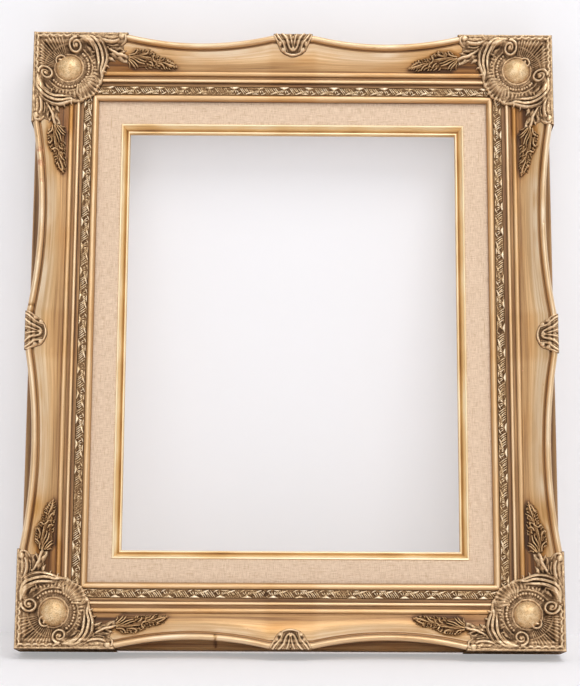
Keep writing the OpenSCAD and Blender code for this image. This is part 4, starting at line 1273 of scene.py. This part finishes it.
for number, sideName in enumerate(sideNames):
    buildCourse(sideName, 411 + number)
print("pressed the leaf courses")


# Liner, linen and slip

linerWork = {
    "linerFace": 20.5,
    "slipSeat": 14.5,
    "clothStep": 2.0,
    "slipStep": 2.5,
    "sharpFold": math.radians(50),
    # cloth section: distance in, height above the wood
    "cloth": [(linerEdge, 0), (linerEdge, 0.35), (50, 0.42), (52.6, 0.5), (53.4, 0.56), (55, 0.62),
              (58, 0.6), (61, 0.62), (64, 0.6), (67, 0.62), (69.5, 0.6), (71, 0.56), (71.6, 0.5),
              (slipEdge, 0.35), (slipEdge, 0)],
    # slip section: distance in, height above its seat, and the leaf's painted light: highlights on the
    # beads, shade in the hollow between them and at the foot
    "slip": [(71.85, 0, 0.2), (71.85, 6.9, 0.8), (72.1, 7.35, 0.95), (72.5, 7.45, 1.0), (73.1, 7.15, 0.98),
             (73.6, 6.3, 0.8), (74.0, 5.5, 0.84), (74.6, 4.6, 0.82), (75.0, 3.9, 0.7), (75.7, 3.25, 0.42),
             (76.5, 2.62, 0.2),
             (76.9, 2.75, 0.45), (77.3, 3.08, 0.85), (77.8, 3.2, 1.0), (78.2, 3.05, 0.95), (78.6, 2.4, 0.7),
             (78.6, 0, 0.5)],
}


def buildLinen(side, seed):
    work = linerWork
    inset, lift = np.array(work["cloth"]).T
    x = mitredGrid(side, inset, linerEdge, work["clothStep"])
    ripple = 0.03 * roughNoise(x.shape, 3, seed)
    h = work["linerFace"] + lift + np.where(lift > 0.4, ripple, 0)
    d = np.broadcast_to(inset, x.shape)
    piece = makePiece("linen_" + side + "_cloth", onSide(side, x, d, h).reshape(-1, 3),
                      barFaces(*x.shape), [linenCloth], {"place": grainPlace(x, d, seed * 3.0)})
    piece.data.set_sharp_from_angle(angle=work["sharpFold"])
    settle(piece, "linen_" + side)


def buildSlip(side, seed):
    work = linerWork
    line = np.array(work["slip"], float)
    face = splineThrough(line[1:-1], 4)
    line = np.vstack([line[:1], face, line[-1:]])
    line[:, 2] = np.clip(line[:, 2], 0, 1)
    x = mitredGrid(side, line[:, 0], slipEdge, work["slipStep"])
    wavy = 0.03 * roughNoise(x.shape, 5, seed)
    h = work["slipSeat"] + line[:, 1] + np.where(line[:, 1] > 1, wavy, 0)
    d = np.broadcast_to(line[:, 0], x.shape)
    tone = np.broadcast_to(line[:, 2], x.shape) + 0.06 * roughNoise((len(x), 1), 3, seed + 2)
    piece = makePiece("slip_" + side + "_gilded", onSide(side, x, d, h).reshape(-1, 3),
                      barFaces(*x.shape), [giltSlip],
                      {"place": grainPlace(x, arcAlong(line), seed * 5.0),
                       "tone": np.clip(tone, 0, 1).ravel()})
    piece.data.set_sharp_from_angle(angle=work["sharpFold"])
    settle(piece, "slip_" + side)


for number, sideName in enumerate(sideNames):
    buildLinen(sideName, 511 + number)
    buildSlip(sideName, 521 + number)
print("laid the linen and the slips")


# Carried-over parts: liner wood, nails and back hardware

carried = {
    "wood": ["liner_top", "liner_bottom", "liner_left", "liner_right"],
    "metal": ["frame_v_nails", "liner_v_nails", "hanger_strap_left", "hanger_strap_right",
              "hanger_ring_left",
              "hanger_ring_right", "hanger_screws", "turn_button_top", "turn_button_bottom",
              "turn_button_left", "turn_button_right", "turn_button_screws"],
}
for family in ("wood", "metal"):
    for nodeName in carried[family]:
        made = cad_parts[nodeName]
        upright = nodeName.endswith(("left", "right"))
        finish = zincSteel if family == "metal" else bareWood[upright]
        for slotNumber in range(len(made.material_slots)):
            made.material_slots[slotNumber].material = finish
print("finished the carried-over parts")


# Floor, wall, lamps and camera

studio = {
    "lean": 12.0,
    "paper": paint(242, 240, 243),
    "lift": 0.33,
    "floor": 3.2,
    "wall": 2.6,
    "halfWidth": 3,
    "worldStrength": 0.4,
    "lamps": [
        # name, place, size, power
        ("key", (0.6, -1.9, 1.9), 1.4, 36.0),
        ("front", (-0.4, -2.5, 0.2), 2.0, 15.0),
    ],
}


def makePaper():
    # pale paper that can't be seen from behind
    f = Finish("backdropPaper", Roughness=0.9, Specular_IOR_Level=0.1, Base_Color=studio["paper"])
    # seen by the camera it is part white, so that the shadow on it stays light
    clear = f.add("BsdfTransparent")
    behind = f.add("NewGeometry").outputs["Backfacing"]
    white = f.add("Emission", {"Color": (1, 1, 1, 1), "Strength": 1.0})
    seen = f.maths("MULTIPLY", f.add("LightPath").outputs["Is Camera Ray"], studio["lift"])
    lifted = f.add("MixShader", {0: seen})
    f.tree.links.new(f.shader.outputs[0], lifted.inputs[1])
    f.tree.links.new(white.outputs[0], lifted.inputs[2])
    both = f.add("MixShader", {0: behind})
    f.tree.links.new(lifted.outputs[0], both.inputs[1])
    f.tree.links.new(clear.outputs[0], both.inputs[2])
    f.tree.links.new(both.outputs[0], f.tree.nodes["Material Output"].inputs["Surface"])
    return f.material


def buildStudio():
    # the frame leans back in the photo, so here the floor and the wall lean round the upright frame
    lean = math.radians(studio["lean"])
    back = wallY * toMetres
    top = outerHeight * toMetres
    down = Vector((0, -math.cos(lean), -math.sin(lean)))
    up = Vector((0, -math.sin(lean), math.cos(lean)))
    heel = Vector((0, back, 0))
    head = Vector((0, cadBox[1][1] + 0.0005, top))
    side = Vector((1, 0, 0))
    meet = head - up * (head - heel).dot(up)
    paper = makePaper()
    for name, way, long in (("floorPaper", down, studio["floor"]), ("wallPaper", up, studio["wall"])):
        left, right = meet - side * studio["halfWidth"], meet + side * studio["halfWidth"]
        corners = [left, right, right + way * long, left + way * long]
        mesh = bpy.data.meshes.new(name)
        mesh.from_pydata([tuple(c) for c in corners], [], [(0, 1, 2, 3)])
        mesh.materials.append(paper)
        sheet = bpy.data.objects.new(name, mesh)
        bpy.context.scene.collection.objects.link(sheet)
        towards = Vector((0, -1, 0)) if name == "wallPaper" else Vector((0, 0, 1))
        if mesh.polygons[0].normal.dot(towards) < 0:
            mesh.flip_normals()
    world = bpy.data.worlds.new("studioWorld")
    world.use_nodes = True
    bpy.context.scene.world = world
    tree = world.node_tree
    background = tree.nodes["Background"]
    background.inputs["Color"].default_value = (1, 1, 1, 1)
    background.inputs["Strength"].default_value = studio["worldStrength"]
    bright = tree.nodes.new("ShaderNodeBackground")
    bright.inputs["Color"].default_value = (0.93, 0.93, 0.94, 1)
    bright.inputs["Strength"].default_value = 1.0
    path = tree.nodes.new("ShaderNodeLightPath")
    mix = tree.nodes.new("ShaderNodeMixShader")
    tree.links.new(path.outputs["Is Camera Ray"], mix.inputs[0])
    tree.links.new(background.outputs[0], mix.inputs[1])
    tree.links.new(bright.outputs[0], mix.inputs[2])
    tree.links.new(mix.outputs[0], tree.nodes["World Output"].inputs["Surface"])
    for name, place, size, power in studio["lamps"]:
        lamp = bpy.data.lights.new(name + "Lamp", "AREA")
        lamp.shape = "SQUARE"
        lamp.size = size
        lamp.energy = power
        holder = bpy.data.objects.new(name + "Lamp", lamp)
        holder.location = place
        aim = Vector((0, 0, 0.25)) - holder.location
        holder.rotation_euler = aim.to_track_quat("-Z", "Y").to_euler()
        bpy.context.scene.collection.objects.link(holder)


buildStudio()

# The camera was fitted to the photo's mitred outlines
cameraWork = {
    "pixelsPerRadian": 2000,
    "longSide": 686,
    "sensor": 36,
    "place": (-0.0109, -1.5706, -0.0894),
    "pitch": 12.04,
    "yaw": -0.35,
    "roll": -0.27,
}
cameraData = bpy.data.cameras.new("photoCamera")
cameraData.sensor_width = cameraWork["sensor"]
cameraData.lens = cameraWork["pixelsPerRadian"] / cameraWork["longSide"] * cameraWork["sensor"]
camera = bpy.data.objects.new("photoCamera", cameraData)
turn = (Matrix.Rotation(math.radians(cameraWork["yaw"]), 4, "Z")
        @ Matrix.Rotation(math.radians(cameraWork["pitch"]), 4, "X")
        @ Matrix.Rotation(math.radians(cameraWork["roll"]), 4, "Y")
        @ Matrix.Rotation(math.radians(90), 4, "X"))
camera.matrix_world = Matrix.Translation(cameraWork["place"]) @ turn
bpy.context.scene.collection.objects.link(camera)
bpy.context.scene.camera = camera
bpy.context.scene.view_settings.view_transform = "Standard"
print("set up the studio and the camera")
